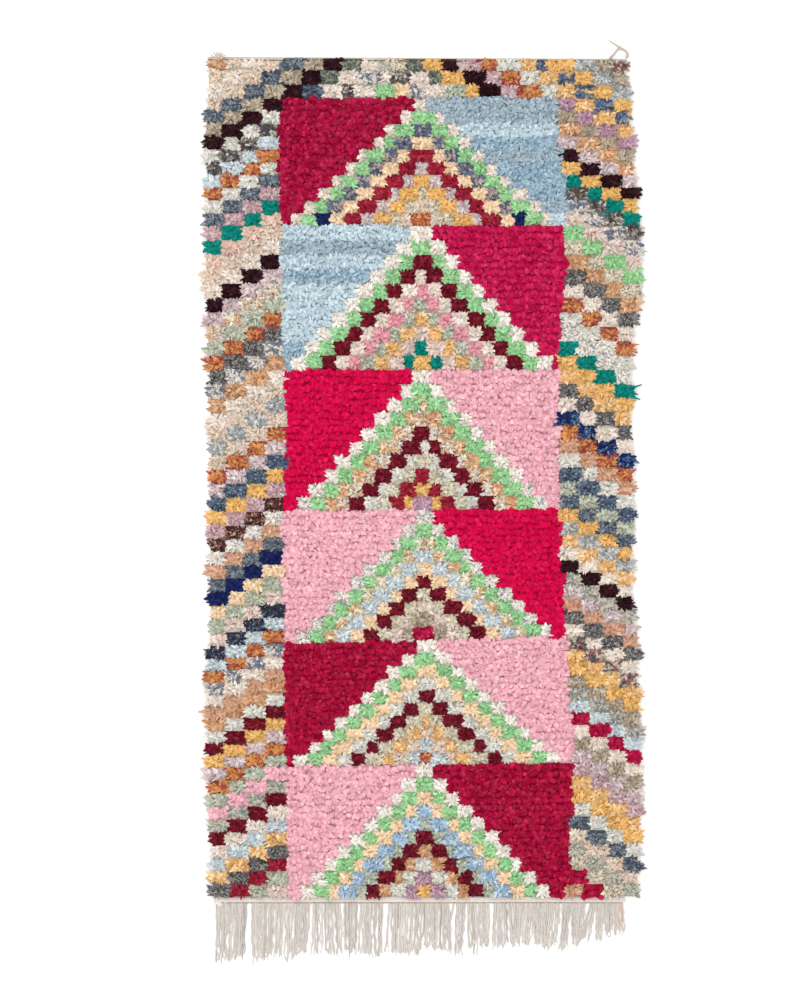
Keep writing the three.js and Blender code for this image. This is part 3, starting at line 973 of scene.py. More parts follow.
@dataclass(frozen=True)
class RootFinish:
    """Roots of the knots, seen between the rags on the face of the rug.

    Attributes:
        name: Name of the material.
        fibre_size: Size of the mottling.
        mottle: Fibre noise, and the shades that it gives.
    """

    name: str = "knot_roots"
    fibre_size: float = 2.2 * MM
    mottle: tuple[float, float, float, float] = (0.3, 0.7, 0.75, 1.1)

    def material(self) -> bpy.types.Material:
        """Build the material."""
        n = Nodes(self.name)
        fibres = n.noise(self.fibre_size, 3.0)
        toned = n.scaled(n.field("rag_colour"), n.remap(fibres, self.mottle))
        return n.finish(toned, fibres, 0.6, 1.2 * MM, Roughness=0.95, Specular_IOR_Level=0.1)


@dataclass(frozen=True)
class BackingFinish:
    """Back of the rug: cotton wefts with the knots' collars as dashes of their own colours.

    Attributes:
        name: Name of the material.
        cotton: Colour of the wefts.
        dull_cotton: Colour that they are mottled with.
        fibre_size: Size of the mottling.
        collar_height: Height of a dash, as a share of a row of knots.
        collar_width: Width of a dash, as a share of a knot.
        collar_rise: Height of the dashes over the wefts' own relief.
        groove: Shade between the threads.
    """

    name: str = "ground_back"
    cotton: Colour = (214, 202, 182)
    dull_cotton: Colour = (188, 174, 152)
    fibre_size: float = 1 / 420
    collar_height: float = 0.42
    collar_width: float = 0.86
    collar_rise: float = 1.4
    groove: float = 0.62

    def material(self) -> bpy.types.Material:
        """Build the material."""
        n = Nodes(self.name)
        knot, row, _ = n.parts(n.field("weave", "Vector"))
        in_row = n.math("LESS_THAN", n.math("FRACT", row), self.collar_height)
        in_knot = n.math("LESS_THAN", n.math("FRACT", knot), self.collar_width)
        collar = n.math("MULTIPLY", in_row, in_knot)
        wefts = n.math("SINE", n.math("MULTIPLY", row, math.tau * 4))
        warps = n.math("SINE", n.math("MULTIPLY", knot, math.tau * 2))
        ripple = n.math("MULTIPLY", wefts, warps)
        cotton = n.mix(n.noise(self.fibre_size, 3.0), linear(self.cotton), linear(self.dull_cotton))
        woven = n.scaled(cotton, n.remap(ripple, (-1.0, 1.0, self.groove, 1.0)))
        shown = n.mix(collar, woven, n.field("rag_colour"))
        raised = n.math("MULTIPLY_ADD", collar, self.collar_rise, ripple)
        return n.finish(shown, raised, 0.7, 0.8 * MM, Roughness=0.92, Specular_IOR_Level=0.15)


@dataclass(frozen=True)
class YarnFinish:
    """Soft plied cotton, in a colour that each yarn carries.

    Attributes:
        name: Name of the material.
        ply_pitch: Length of one turn of the plies.
        fibre_size: Size of the mottling.
        groove: Shade between the plies.
        mottle: Fibre noise, and the shades that it gives.
    """

    name: str
    ply_pitch: float = 4.2 * MM
    fibre_size: float = 0.9 * MM
    groove: float = 0.86
    mottle: tuple[float, float, float, float] = (0.3, 0.7, 0.93, 1.04)

    def material(self) -> bpy.types.Material:
        """Build the material."""
        n = Nodes(self.name)
        out, along, up = n.parts(n.field("strand", "Vector"))
        travel = n.math("MULTIPLY", along, math.tau / self.ply_pitch)
        ply = n.math("SINE", n.math("ADD", n.math("ARCTAN2", up, out), travel))
        fibres = n.noise(self.fibre_size, 2.0)
        shade = n.remap(ply, (-1.0, 0.2, self.groove, 1.0))
        toned = n.scaled(n.field("yarn_colour"), n.math("MULTIPLY", shade, n.remap(fibres, self.mottle)))
        gloss = {"Roughness": 0.9, "Sheen_Weight": 0.1, "Specular_IOR_Level": 0.15}
        return n.finish(toned, n.math("ADD", ply, fibres), 0.5, 0.5 * MM, **gloss)


class KnottedPile(RugPart):
    """The rag pile: two rows of knots for each row of colour, and two rag ends for each knot.

    A wide cell is plain and packed with rags along its rows. A narrow one spreads out like a star.

    Attributes:
        knot_pitch: Width of an uncrowded knot.
        wide_cell: Width from which a cell counts as wide.
        edge_reach: How near its end a wide cell's rags start to lean outwards.
        cell_margin: How far inside their cell the outermost knots stand.
        star_margin: The same along the rug, for narrow cells.
        cell_shift: How far a narrow cell strays along the rug, as a standard deviation.
        border_drift: How far the side borders' rags lean away from the panels.
        long_share: Share of the narrow cells' rags that are cut long.
        end_gap: How far inside the plain end the first knots stand.
        end_reach: How near both ends the rags start to lean over them.
        fluffy_from: Place across from which the first row reaches over the plain end.
        rim_reach: How near the rim the rags start to lean over it.
        lean: How strongly rags lean with their place in the cell, and at the rim.
        end_lean: How strongly they lean over the fringe's end, and over the plain end.
        scatter: How far the lean strays across the rug, in wide cells and in narrow ones.
        scatter_along: The same along the rug.
        pull_along: How strongly rags lean away from their cell's middle row, in the same two kinds.
        upright_share: Share of the rags that stand up.
        top: Height of the pile.
        domes: How much lower it is at a cell's edge, in the same two kinds.
        droop: How far a rag's tip hangs, upright and lying.
    """

    knot_pitch: float = 9.4 * MM
    wide_cell: float = 76 * MM
    edge_reach: float = 24 * MM
    cell_margin: float = 2.6 * MM
    star_margin: float = 4.5 * MM
    cell_shift: float = 1.5 * MM
    border_drift: float = 0.3
    long_share: float = 0.16
    end_gap: float = 9.5 * MM
    end_reach: float = 13 * MM
    fluffy_from: float = -210 * MM
    rim_reach: float = 26 * MM
    lean: tuple[float, float] = (1.15, 0.9)
    end_lean: tuple[float, float] = (0.6, 0.5)
    scatter: tuple[float, float] = (0.6, 0.42)
    scatter_along: tuple[float, float] = (0.6, 0.34)
    pull_along: tuple[float, float] = (0.1, 0.85)
    upright_share: float = 0.2
    top: float = 22 * MM
    domes: tuple[float, float] = (3 * MM, 5.5 * MM)
    droop: tuple[float, float] = (1.0 * MM, 3.6 * MM)
    seed: int = 1907

    def knots(self) -> dict[str, np.ndarray]:
        """Tie the knots, row by row and cell by cell.

        Returns:
            Arrays by name, one entry for each strip: its colour row, its place across and along, its
            place in the cell from -1 to 1 both ways, its knot, its cloth and whether its cell is wide.
        """
        edges = self.plan.row_edges()
        edges[0] += self.end_gap
        names = list(Stock)
        found: list[tuple[float, ...]] = []
        knot = 0
        for row in range(1, len(edges)):
            pitch = (edges[row] - edges[row - 1]) / self.plan.knot_rows
            middle = (edges[row] + edges[row - 1]) / 2
            for start, end, stock in self.chart.cells(row, middle, self.rng):
                width = end - start
                count = max(1, round(width / self.knot_pitch * stock.value.cut.crowding))
                wide = width > self.wide_cell
                shift = self.rng.normal(0, self.cell_shift)
                for half in range(self.plan.knot_rows):
                    side = 2 * half / (self.plan.knot_rows - 1) - 1
                    for number in range(2 * count):
                        share = (number + 0.5) / (2 * count)
                        across = start + self.cell_margin + share * (width - 2 * self.cell_margin)
                        out = 2 * share - 1
                        if wide:
                            room = width / 2 * (1 - abs(out))
                            out = math.copysign(max(0.0, 1 - room / self.edge_reach), out)
                            down, along = side, middle + side * pitch / 2
                        else:
                            down = side * self.rng.uniform(0, 1)
                            along = middle + shift + down * (pitch - self.star_margin)
                        cloth = names.index(stock)
                        found.append((row, across, along, out, down, knot + number // 2, cloth, wide))
                    knot += count
        labels = ("row", "across", "along", "out", "down", "knot", "cloth", "wide")
        return dict(zip(labels, np.array(found).T, strict=True))

    def colours(self, knots: dict[str, np.ndarray]) -> tuple[np.ndarray, np.ndarray]:
        """Pick the linear colours of the strips, and of the print on them.

        Both strips of a knot mostly come from one rag, so they share its shade.
        """
        rng, count = self.rng, len(knots["row"])
        knot = knots["knot"].astype(int)
        pick = rng.random(knot.max() + 1)[knot]
        again = rng.random(count) < 0.4
        pick[again] = rng.random(int(again.sum()))
        tone = rng.normal(0, 0.8, knot.max() + 1)[knot] + rng.normal(0, 0.6, count)
        colour = np.zeros((count, 4))
        fleck = np.zeros((count, 4))
        for number, stock in enumerate(Stock):
            rag, mine = stock.value, knots["cloth"] == number
            shades = np.array([linear(shade) for shade in rag.shades])
            colour[mine] = shades[(pick[mine] * len(shades)).astype(int)]
            colour[mine, :3] *= np.clip(1 + rag.uneven * tone[mine], 0.6, 1.4)[:, None]
            fleck[mine] = linear(rag.fleck)
        return np.clip(colour, 0, 1), fleck

    def batch(self, knots: dict[str, np.ndarray]) -> RagBatch:
        """Turn knots into strips with their sizes, turns and colours."""
        rng, count = self.rng, len(knots["row"])
        cuts = [stock.value.cut for stock in Stock]
        cuts = np.array([(cut.width, cut.tip, cut.length, cut.rumple, cut.fold, cut.stagger) for cut in cuts])
        prints = [stock.value for stock in Stock]
        prints = np.array([(rag.fleck_share, 1 / (rag.fleck_size * MM), rag.fade_and_highlight) for rag in prints])
        cloth = knots["cloth"].astype(int)
        width, tip_width, length, rumple, fold, stagger = cuts[cloth].T
        share, scale, fade_and_highlight = prints[cloth].T
        colour, fleck = self.colours(knots)

        across, along = knots["across"], knots["along"]
        wide = knots["wide"] > 0
        left, right = self.plan.reach(along)
        outwards = np.clip(1 - (right - across) / self.rim_reach, 0, 1)
        outwards = outwards - np.clip(1 - (across + left) / self.rim_reach, 0, 1)
        edge = np.abs(outwards)
        panel_left, panel_right = self.plan.panel_reach(along)
        border = 1.0 * (across > panel_right) - 1.0 * (across < -panel_left)
        towards = knots["out"] * self.lean[0] + outwards * self.lean[1]
        towards = towards + rng.normal(0, np.where(wide, *self.scatter), count)
        towards += border * self.border_drift
        down = knots["down"] * np.where(wide, *self.pull_along)
        down = down + rng.normal(0, np.where(wide, *self.scatter_along), count)
        last = np.clip(1 - (self.plan.length - along) / self.end_reach, 0, 1)
        first = np.clip(1 - (along - self.end_gap) / self.end_reach, 0, 1)
        first *= across > self.fluffy_from
        heading = np.arctan2(towards, down + self.end_lean[0] * last - self.end_lean[1] * first)

        upright = rng.random(count) < self.upright_share
        run = length * rng.normal(1, 0.17, count).clip(0.6, 1.5) * np.where(upright, 0.7, 1.0)
        run += (edge + last + 1.6 * first) * rng.exponential(2.8 * MM, count)
        run *= np.where(~wide & (rng.random(count) < self.long_share), 1.3, 1.0)
        back = run * rng.uniform(0.45, 0.62, count)
        middle_across = across + rng.normal(0, 1.5 * MM, count)
        stray = rng.normal(0, 1, count) * np.where(wide, stagger, 1.0 * MM)
        middle_along = along + self.waver(knots) + stray
        root_across = middle_across - back * np.sin(heading)
        x, y = self.plan.to_frame(root_across, middle_along - back * np.cos(heading))

        crowd = np.hypot(knots["out"], np.where(wide, 0.5, knots["down"]))
        dome = np.where(wide, *self.domes)
        lift = self.top + 0.35 * (dome - self.domes[0]) - dome * crowd.clip(0, 1.3)
        lift = lift + rng.normal(0, 1.1 * MM, count)
        lift = lift * (1 - 0.3 * edge) + np.where(upright, 1.2 * MM, 0)
        droop = np.where(upright, *self.droop) + rng.normal(0, 1.1 * MM, count)
        return RagBatch(
            x=x,
            y=y,
            heading=heading,
            length=run,
            width=width * rng.normal(1, 0.15, count).clip(0.6, 1.4),
            tip_width=tip_width * rng.uniform(0.6, 1.4, count),
            fold=fold * rng.uniform(0.4, 1.5, count),
            lift=lift,
            tip=lift - droop - edge * 5 * MM,
            roll=rng.normal(0, 1, count) * rumple,
            bend=rng.normal(0, 2.6 * MM, count),
            colour=colour,
            fleck=fleck,
            fleck_share=share * rng.uniform(0.5, 1.5, count),
            fleck_scale=scale,
            fade_and_highlight=fade_and_highlight * rng.random(count) ** 2,
        )

    def waver(self, knots: dict[str, np.ndarray]) -> np.ndarray:
        """Give how far each strip has moved towards the fringe where its row wavers."""
        across, along = knots["across"], knots["along"]
        slow = np.sin(across * 31 + along * 7) + np.sin(across * 57 - along * 13 + 2)
        quick = np.sin(across * 143 + along * 91) + np.sin(across * 211 - along * 57 + 1)
        return 1.1 * MM * slow + 1.2 * MM * quick

    def build(self) -> list[bpy.types.Object]:
        """Build the pile, a piece for each part of the pattern."""
        knots = self.knots()
        rags = self.batch(knots)
        finish = RagFinish().material()
        left, right = self.plan.panel_reach(knots["along"])
        top = knots["row"] <= self.plan.bands[0].rows
        in_left = ~top & (knots["across"] < -left)
        in_right = ~top & (knots["across"] > right)
        parts = {"pile_top_border": top, "pile_left_border": in_left, "pile_right_border": in_right}
        first = self.plan.bands[0].rows + 1
        for number, band in enumerate(self.plan.bands[1:], 1):
            mine = (knots["row"] >= first) & (knots["row"] < first + band.rows)
            parts[f"pile_panel_{number}"] = mine & ~in_left & ~in_right
            first += band.rows
        pieces = []
        shape = RagShape()
        for name, chosen in parts.items():
            piece = shape.sweep(name, rags.taken(chosen), self.rng)
            piece.data.materials.append(finish)
            pieces.append(piece)
            LOG.info("%s: %d strips of rag", name, int(chosen.sum()))
        return pieces


class GroundWeave(RugPart):
    """The cotton ground that the knots are tied on: their roots' colours on top, and dashes of them below.

    Attributes:
        cells_across: Cells of its grid across the rug.
        cells_along: Cells of its grid along the rug.
        height: Height of its face.
        thickness: Its thickness.
        rim_inset: How far inside the rim it ends.
        end_insets: How far inside the plain end it starts, and how much shorter than the field it is.
    """

    cells_across: int = 104
    cells_along: int = 130
    height: float = 4.6 * MM
    thickness: float = 3.2 * MM
    rim_inset: float = 10 * MM
    end_insets: tuple[float, float] = (4 * MM, 5 * MM)

    def colour_faces(self, mesh: bpy.types.Mesh, across: np.ndarray, along: np.ndarray) -> None:
        """Give each face of the flat grid the colour of the knots on it.

        Args:
            mesh: The grid.
            across: Places of its vertices across the rug.
            along: Places of its vertices along the rug.
        """
        edges = self.plan.row_edges()
        colours = np.ones((len(mesh.loops), 4))
        for face in mesh.polygons:
            corners = list(face.vertices)
            out, down = float(across[corners].mean()), float(along[corners].mean())
            row = int(np.clip(np.searchsorted(edges, down), 1, self.plan.colour_rows))
            colours[list(face.loop_indices)] = linear(self.chart.rag(row, out, down).value.shades[0])
        carry(mesh, "rag_colour", colours, "FLOAT_COLOR", "CORNER")

    def build(self) -> bpy.types.Object:
        """Build the ground as one thin sheet."""
        bpy.ops.mesh.primitive_grid_add(
            x_subdivisions=self.cells_across, y_subdivisions=self.cells_along, size=2, location=(0, 0, 0)
        )
        ground = bpy.context.object
        ground.name = "ground_weave"
        mesh = ground.data
        points = np.zeros(len(mesh.vertices) * 3)
        mesh.vertices.foreach_get("co", points)
        points = points.reshape(-1, 3)
        start, shorter = self.end_insets
        along = (1 - points[:, 1]) / 2 * (self.plan.length - shorter) + start
        across = self.plan.between_rims((points[:, 0] + 1) / 2, along, self.rim_inset)
        self.colour_faces(mesh, across, along)
        mesh.vertices.foreach_set("co", self.plan.place(across, along, self.height).ravel())
        row_pitch = self.plan.length / self.plan.colour_rows / self.plan.knot_rows
        threads = np.stack([across / (KnottedPile.knot_pitch / 2), along / row_pitch, 0 * across], 1)
        carry(mesh, "weave", threads, "FLOAT_VECTOR", "POINT")
        mesh.update()
        solid = ground.modifiers.new("thickness", "SOLIDIFY")
        solid.thickness = self.thickness
        solid.offset = -1
        solid.material_offset = 1
        solid.material_offset_rim = 1
        bpy.ops.object.modifier_apply(modifier=solid.name)
        mesh.materials.append(RootFinish().material())
        mesh.materials.append(BackingFinish().material())
        bpy.ops.object.shade_smooth_by_angle(angle=math.radians(40))
        return ground


class RagBed(RugPart):
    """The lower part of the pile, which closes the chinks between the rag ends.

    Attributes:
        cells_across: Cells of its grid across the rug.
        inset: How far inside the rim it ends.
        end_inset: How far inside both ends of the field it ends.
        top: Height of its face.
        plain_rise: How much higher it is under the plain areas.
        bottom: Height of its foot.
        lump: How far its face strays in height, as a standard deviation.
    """

    cells_across: int = 100
    inset: float = 15 * MM
    end_inset: float = 13 * MM
    top: float = 13.6 * MM
    plain_rise: float = 2.3 * MM
    bottom: float = 4.8 * MM
    lump: float = 1.3 * MM
    seed: int = 55

    def build(self) -> bpy.types.Object:
        """Build the bed as one closed lumpy slab."""
        plan, columns = self.plan, self.cells_across + 1
        edges = plan.row_edges()
        halves = np.interp(np.arange(2 * plan.colour_rows + 1) / 2, np.arange(len(edges)), edges)
        halves = halves.clip(self.end_inset, plan.length - self.end_inset)
        share, along = np.meshgrid(np.linspace(0, 1, columns), halves)
        across = plan.between_rims(share, along, self.inset)
        middles = (halves[1:] + halves[:-1]) / 2
        rags = [
            [self.chart.rag(row // 2 + 1, float(place), float(middles[row])) for place in line]
            for row, line in enumerate((across[:-1, :-1] + across[1:, 1:]) / 2)
        ]
        plain = np.pad([[rag.value.cut is not LEAF for rag in line] for line in rags], 1, mode="edge")
        plain = plain[:-1, :-1] & plain[1:, :-1] & plain[:-1, 1:] & plain[1:, 1:]
        height = self.top + self.plain_rise * plain + self.rng.normal(0, self.lump, plain.shape)
        top = plan.place(across, along, height).reshape(-1, 3)
        number = np.arange(len(top)).reshape(-1, columns)
        rim = np.r_[number[0, :-1], number[:-1, -1], number[-1, :0:-1], number[:0:-1, 0]]
        foot = top[rim] * (1, 1, 0) + (0, 0, self.bottom)
        below = np.arange(len(rim)) + len(top)
        quads = np.stack([number[:-1, :-1], number[1:, :-1], number[1:, 1:], number[:-1, 1:]], 2)
        quads = quads.reshape(-1, 4)
        skirt = np.stack([rim, np.roll(rim, -1), np.roll(below, -1), below], 1)
        corners = np.concatenate([quads.ravel(), skirt.ravel(), below])
        sizes = np.r_[np.full(len(quads) + len(skirt), 4), len(below)]
        shades = [linear(rag.value.shades[0]) for line in rags for rag in line]
        faces = np.concatenate([np.array(shades), np.tile(shades[0], (len(skirt) + 1, 1))])
        bed = make_mesh("pile_bed", np.concatenate([top, foot]), corners, sizes)
        carry(bed.data, "rag_colour", np.repeat(faces, sizes, axis=0), "FLOAT_COLOR", "CORNER")
        bed.data.materials.append(RootFinish("packed_rags").material())
        return bed


class Yarns:
    """Many yarns as one mesh, each swept along its own line.

    Attributes:
        sides: Number of points around a yarn.
    """

    sides: int = 5

    def __init__(self, name: str, seed: int) -> None:
        """Start with no yarn, under the name of the piece."""
        self.name = name
        self.rng = np.random.default_rng(seed)
        self.parts: list[tuple[np.ndarray, ...]] = []
        self.count = 0

    def add(self, line: np.ndarray, width: np.ndarray, height: np.ndarray, colour: np.ndarray) -> None:
        """Sweep some yarns.

        Args:
            line: Places of the stations, one row for each yarn.
            width: Half the width at each station.
            height: Half the height at each station.
            colour: Linear colour of each yarn.
        """
        count, steps, _ = line.shape
        side, up = frames(line)
        turns = np.arange(self.sides) / self.sides * math.tau
        ring = side[:, :, None] * (width[:, :, None] * np.cos(turns))[..., None]
        ring = ring - up[:, :, None] * (height[:, :, None] * np.sin(turns))[..., None]
        points = line[:, :, None] + ring
        run = np.linalg.norm(np.diff(line, axis=1), axis=2)
        along = np.concatenate([np.zeros((count, 1)), np.cumsum(run, 1)], 1)
        along = along + self.rng.uniform(0, 2, (count, 1))
        strand = np.zeros((count, steps, self.sides, 3))
        strand[..., 0] = np.cos(turns)
        strand[..., 1] = along[:, :, None]
        strand[..., 2] = np.sin(turns)
        corners, sizes = strip_faces(count, steps, self.sides)
        shades = np.repeat(colour, steps * self.sides, axis=0)
        self.parts.append((points.reshape(-1, 3), corners + self.count, sizes, shades, strand.reshape(-1, 3)))
        self.count += count * steps * self.sides

    def cord(self, line: np.ndarray, width: Size, height: Size, colour: np.ndarray) -> None:
        """Sweep one yarn, with half its width and height at each station or the same all along."""
        halves = (np.broadcast_to(size, len(line))[None] for size in (width, height))
        self.add(line[None], *halves, colour)

    def build(self, finish: YarnFinish) -> bpy.types.Object:
        """Join the yarns and give them their finish."""
        joined = [np.concatenate(part) for part in zip(*self.parts, strict=True)]
        *shape, shades, strands = joined
        piece = make_mesh(self.name, *shape, colours={"yarn_colour": shades}, vectors={"strand": strands})
        piece.data.materials.append(finish.material())
        LOG.info("%s: %d points", self.name, self.count)
        return piece


def tinted(colour: Colour, count: int, uneven: float, rng: np.random.Generator) -> np.ndarray:
    """Give many slightly different copies of a colour.

    Args:
        colour: The colour.
        count: Number of copies.
        uneven: Usual difference, as a share.
        rng: Source of the differences.

    Returns:
        Linear colours.
    """
    colours = np.tile(linear(colour), (count, 1))
    colours[:, :3] *= rng.normal(1, uneven, (count, 1)).clip(0.6, 1.25)
    return np.clip(colours, 0, 1)


class FringedHeading(RugPart):
    """The flat-woven heading below the last knots and the warps that hang from it.

    Attributes:
        wool: Colour of the warps.
        heading_wool: Colour of the wefts, drawn lighter than their cotton to offset the pile's shadow on the
            heading: painted light.
        shadow_line_wool: Colour of the dark cord that paints the shadow in the gaps between the warps below
            the heading.
        blush: Colour of the last clump of warps.
        left: Place across of the heading's left-hand end.
        right: Place across of its right-hand end.
        gap: How far beyond the last knots it starts.
        weft_pitch: Distance between its wefts.
        weft_rows: Number of its wefts.
        weft_reach: How far from its start the wefts may sway.
        warp_pitch: Distance between the warps that the wefts cross.
        yarn_pitch: Distance between the yarns of the fringe.
        yarn_steps: Stations of each yarn.
        yarn_half: Half a yarn's width, as a mean and a standard deviation.
        layers: Heights that the yarns bow up to, and how often they do.
        clumps: Edges at the heading, edges at the tips, and lengths of the left and the right yarns,
            in millimetres.
        loop: Left and right leg and length of the uncut loop, in millimetres.
        shadow_line_along: How far beyond the start that dark cord of painted shadow lies.
        spread: How far each clump spreads past its charted edges.
        shaded: Share of the yarns that lie in shadow.
        corner_fold: Cords of the folded corner: place across, place beyond the start, reach across
            and drop, in millimetres.
    """

    seed: int = 77
    wool: Colour = (222, 214, 205)
    heading_wool: Colour = (254, 242, 235)
    shadow_line_wool: Colour = (166, 148, 136)
    blush: Colour = (224, 206, 194)
    left: float = -478 * MM
    right: float = 470 * MM
    gap: float = 0.4 * MM
    weft_pitch: float = 2.9 * MM
    weft_rows: int = 4
    weft_reach: float = 12.2 * MM
    warp_pitch: float = 2.9 * MM
    yarn_pitch: float = 2.5 * MM
    yarn_steps: int = 17
    yarn_half: tuple[float, float] = (1.65 * MM, 0.16 * MM)
    layers: Rows = ((0.0, 0.5), (1.2 * MM, 0.3), (2.1 * MM, 0.2))
    clumps: Rows = (
        (-473, -401, -474, -407, 134, 127),
        (-390, -317, -389, -322, 136, 120),
        (-312, -256, -311, -266, 136, 113),
        (-251, -236, -257, -232, 123, 118),
        (-231, -228, -230, -227, 108, 108),
        (-224, -207, -222, -202, 119, 117),
        (-205, -187, -198, -180, 118, 120),
        (-178, -148, -174, -152, 118, 112),
        (-141, -114, -147, -116, 114, 128),
        (-109, -89, -109, -93, 126, 118),
        (-77, -70, -90, -74, 119, 115),
        (-69, -43, -67, -50, 120, 122),
        (-41, -13, -47, -20, 117, 120),
        (-9, 6, -15, -2, 119, 112),
        (8, 21, 6, 19, 107, 106),
        (22, 42, 24, 38, 110, 114),
        (43, 62, 44, 70, 108, 118),
        (72, 75, 60, 63, 92, 92),
        (81, 101, 78, 94, 118, 116),
        (106, 125, 106, 128, 108, 113),
        (130, 155, 134, 154, 108, 97),
        (167, 194, 163, 197, 107, 100),
        (197, 229, 206, 219, 97, 98),
        (232, 256, 223, 248, 101, 95),
        (259, 275, 259, 273, 100, 97),
        (277, 304, 277, 292, 100, 106),
        (307, 319, 298, 310, 103, 99),
        (322, 346, 315, 336, 107, 104),
        (348, 377, 347, 362, 99, 95),
        (388, 399, 365, 385, 89, 86),
        (401, 419, 400, 412, 89, 86),
        (423, 437, 418, 438, 76, 66),
        (440, 450, 444, 449, 76, 72),
        (451, 462, 450, 467, 70, 69),
    )
    loop: tuple[float, float, float] = (428, 434, 84)
    shadow_line_along: float = 13.9 * MM
    spread: float = 0.4 * MM
    shaded: float = 0.07
    corner_fold: Rows = (
        (-477, 8, 20, 10), (-477, 11, 18, 10), (-475, 14, 14, 9), (-472, 8, 24, 6),
    )  # fmt: skip

    @property
    def start(self) -> float:
        """Place along the rug where the heading starts."""
        return self.plan.length + self.gap

    def heading(self) -> bpy.types.Object:
        """Weave the heading: weft cords side by side, each going over and under the warps."""
        yarns = Yarns("flat_heading", self.seed + 1)
        across = np.arange(self.left, self.right, self.warp_pitch * 0.75)
        steps = len(across)
        sway = 0.5 * MM * np.sin(across / (70 * MM) + 1)
        for row in range(self.weft_rows):
            along = self.start + self.weft_pitch * (row + 0.5) + self.rng.normal(0, 0.12 * MM, steps)
            along = np.minimum(along + sway, self.start + self.weft_reach)
            over = np.cos(np.arange(steps) * math.pi + row * math.pi)
            line = self.plan.place(across, along, 4.4 * MM + 0.42 * MM * over)
            width = self.weft_pitch * 0.56 * (1 + 0.14 * over)
            # The wefts' colour is drawn lighter to offset the pile's shadow over the heading: painted light.
            yarns.cord(line, width, 2.0 * MM, tinted(self.heading_wool, 1, 0.015, self.rng))
        self.add_shadow_line(yarns)
        self.add_corner_fold(yarns)
        return yarns.build(YarnFinish("heading_cotton", ply_pitch=2.2 * MM, groove=0.97))

    def add_shadow_line(self, yarns: Yarns) -> None:
        """Add to the heading a dark cord between the warps, seen as a dashed line: painted shadow of the gaps
        between them.
        """
        across = np.arange(self.left + 2 * MM, self.right - 2 * MM, self.warp_pitch * 2)
        line = self.plan.place(across, self.start + self.shadow_line_along, 2.2 * MM)
        # A dark cord that stands for the shadow in the gaps between the warps: painted shadow.
        yarns.cord(line, 1.0 * MM, 0.8 * MM, tinted(self.shadow_line_wool, 1, 0, self.rng))

    def add_corner_fold(self, yarns: Yarns) -> None:
        """Add the heading's left-hand corner, which is folded down into a small lump."""
        share = np.linspace(0, 1, 9)
        arch = np.sin(share * math.pi)
        for across, beyond, reach, drop in self.corner_fold:
            along = self.start + (beyond + drop * share - 1.6 * arch) * MM
            line = self.plan.place((across + reach * share) * MM, along, (2.6 + 1.8 * arch) * MM)
            half = (1.0 + 1.1 * arch**0.5) * MM
            yarns.cord(line, half, half * 0.8, tinted(self.heading_wool, 1, 0.03, self.rng))

    def fringe(self) -> bpy.types.Object:
        """Hang the warps, clump by clump."""
        yarns = Yarns("warp_fringe", self.seed + 2)
        for number, clump in enumerate(self.clumps):
            self.add_clump(yarns, np.array(clump) * MM, flap=number == len(self.clumps) - 1)
        self.add_loop(yarns)
        return yarns.build(YarnFinish("warp_cotton"))

    def add_clump(self, yarns: Yarns, clump: np.ndarray, flap: bool) -> None:
        """Add a clump of warps to the fringe.

        Args:
            yarns: The fringe.
            clump: Its row of the table, in metres.
            flap: Whether it is the last one, which is a closer and duller flap.
        """
        rng = self.rng
        share = np.linspace(0, 1, self.yarn_steps)[None]
        arch = np.sin(share * math.pi)
        spread = self.spread * np.array((-1, 1))
        root_left, root_right = clump[:2] + spread
        tip_left, tip_right = clump[2:4] + spread
        left, right = clump[4:]
        count = max(2, round((root_right - root_left) / self.yarn_pitch * (2 if flap else 1)))
        place = (np.arange(count) + 0.5) / count
        root = root_left + (root_right - root_left) * place
        tip = tip_left + (tip_right - tip_left) * place + rng.normal(0, 1.1 * MM, count)
        length = (left + (right - left) * place) * rng.normal(1, 0.045, count)
        bulge = rng.normal(0, 1.3 * MM, count) + (place - 0.5) * rng.normal(2 * MM, 3 * MM)
        ease = share**1.15
        across = root[:, None] * (1 - ease) + tip[:, None] * ease
        across += bulge[:, None] * arch
        for sway, slowest, quickest in ((1.4 * MM, 7, 13), (1.1 * MM, 16, 30)):
            phase = share * rng.uniform(slowest, quickest, (count, 1)) + rng.uniform(0, 6, (count, 1))
            across += rng.normal(0, sway, (count, 1)) * np.sin(phase) * share**0.5
        along = self.start + 9.5 * MM + (length[:, None] + 2.5 * MM) * share
        heights, chances = zip(*self.layers, strict=True)
        layer = rng.choice(heights, count, p=chances)
        height = 1.35 * MM + layer[:, None] * arch
        height += 0.5 * MM * np.exp(-share * 14)
        half = rng.normal(*self.yarn_half, count)[:, None] * np.ones_like(share)
        half *= 1 - 0.5 * (share > 0.97) - 0.1 * share
        half *= 1 + rng.normal(0, 0.08, half.shape)
        colour = tinted(self.blush if flap else self.wool, count, 0.05, rng)
        colour[rng.random(count) < self.shaded, :3] *= 0.78
        line = self.plan.place(across, along, height)
        yarns.add(line, half, np.minimum(half * 0.85, 1.1 * MM), colour)

    def add_loop(self, yarns: Yarns) -> None:
        """Add to the fringe the one warp that is left uncut and turns back as a loop."""
        left, right, length = np.array(self.loop) * MM
        middle, half = (left + right) / 2, (right - left) / 2
        turn = np.linspace(0, math.pi, 15)
        leg = np.linspace(0, 1, 9)[:-1] * (length - half * 3)
        bend = middle - half * np.cos(turn) * 1.3
        across = np.r_[np.full(8, middle - half), bend, np.full(8, middle + half)]
        along = np.r_[leg, length - half * 3 + np.sin(turn) * half * 2.2, leg[::-1]] + self.start + 11 * MM
        line = self.plan.place(across, along, 2.6 * MM)
        yarns.cord(line, 1.3 * MM, 1.3 * MM, tinted(self.wool, 1, 0, self.rng))

    def build(self) -> list[bpy.types.Object]:
        """Build the heading and the fringe."""
        return [self.heading(), self.fringe()]


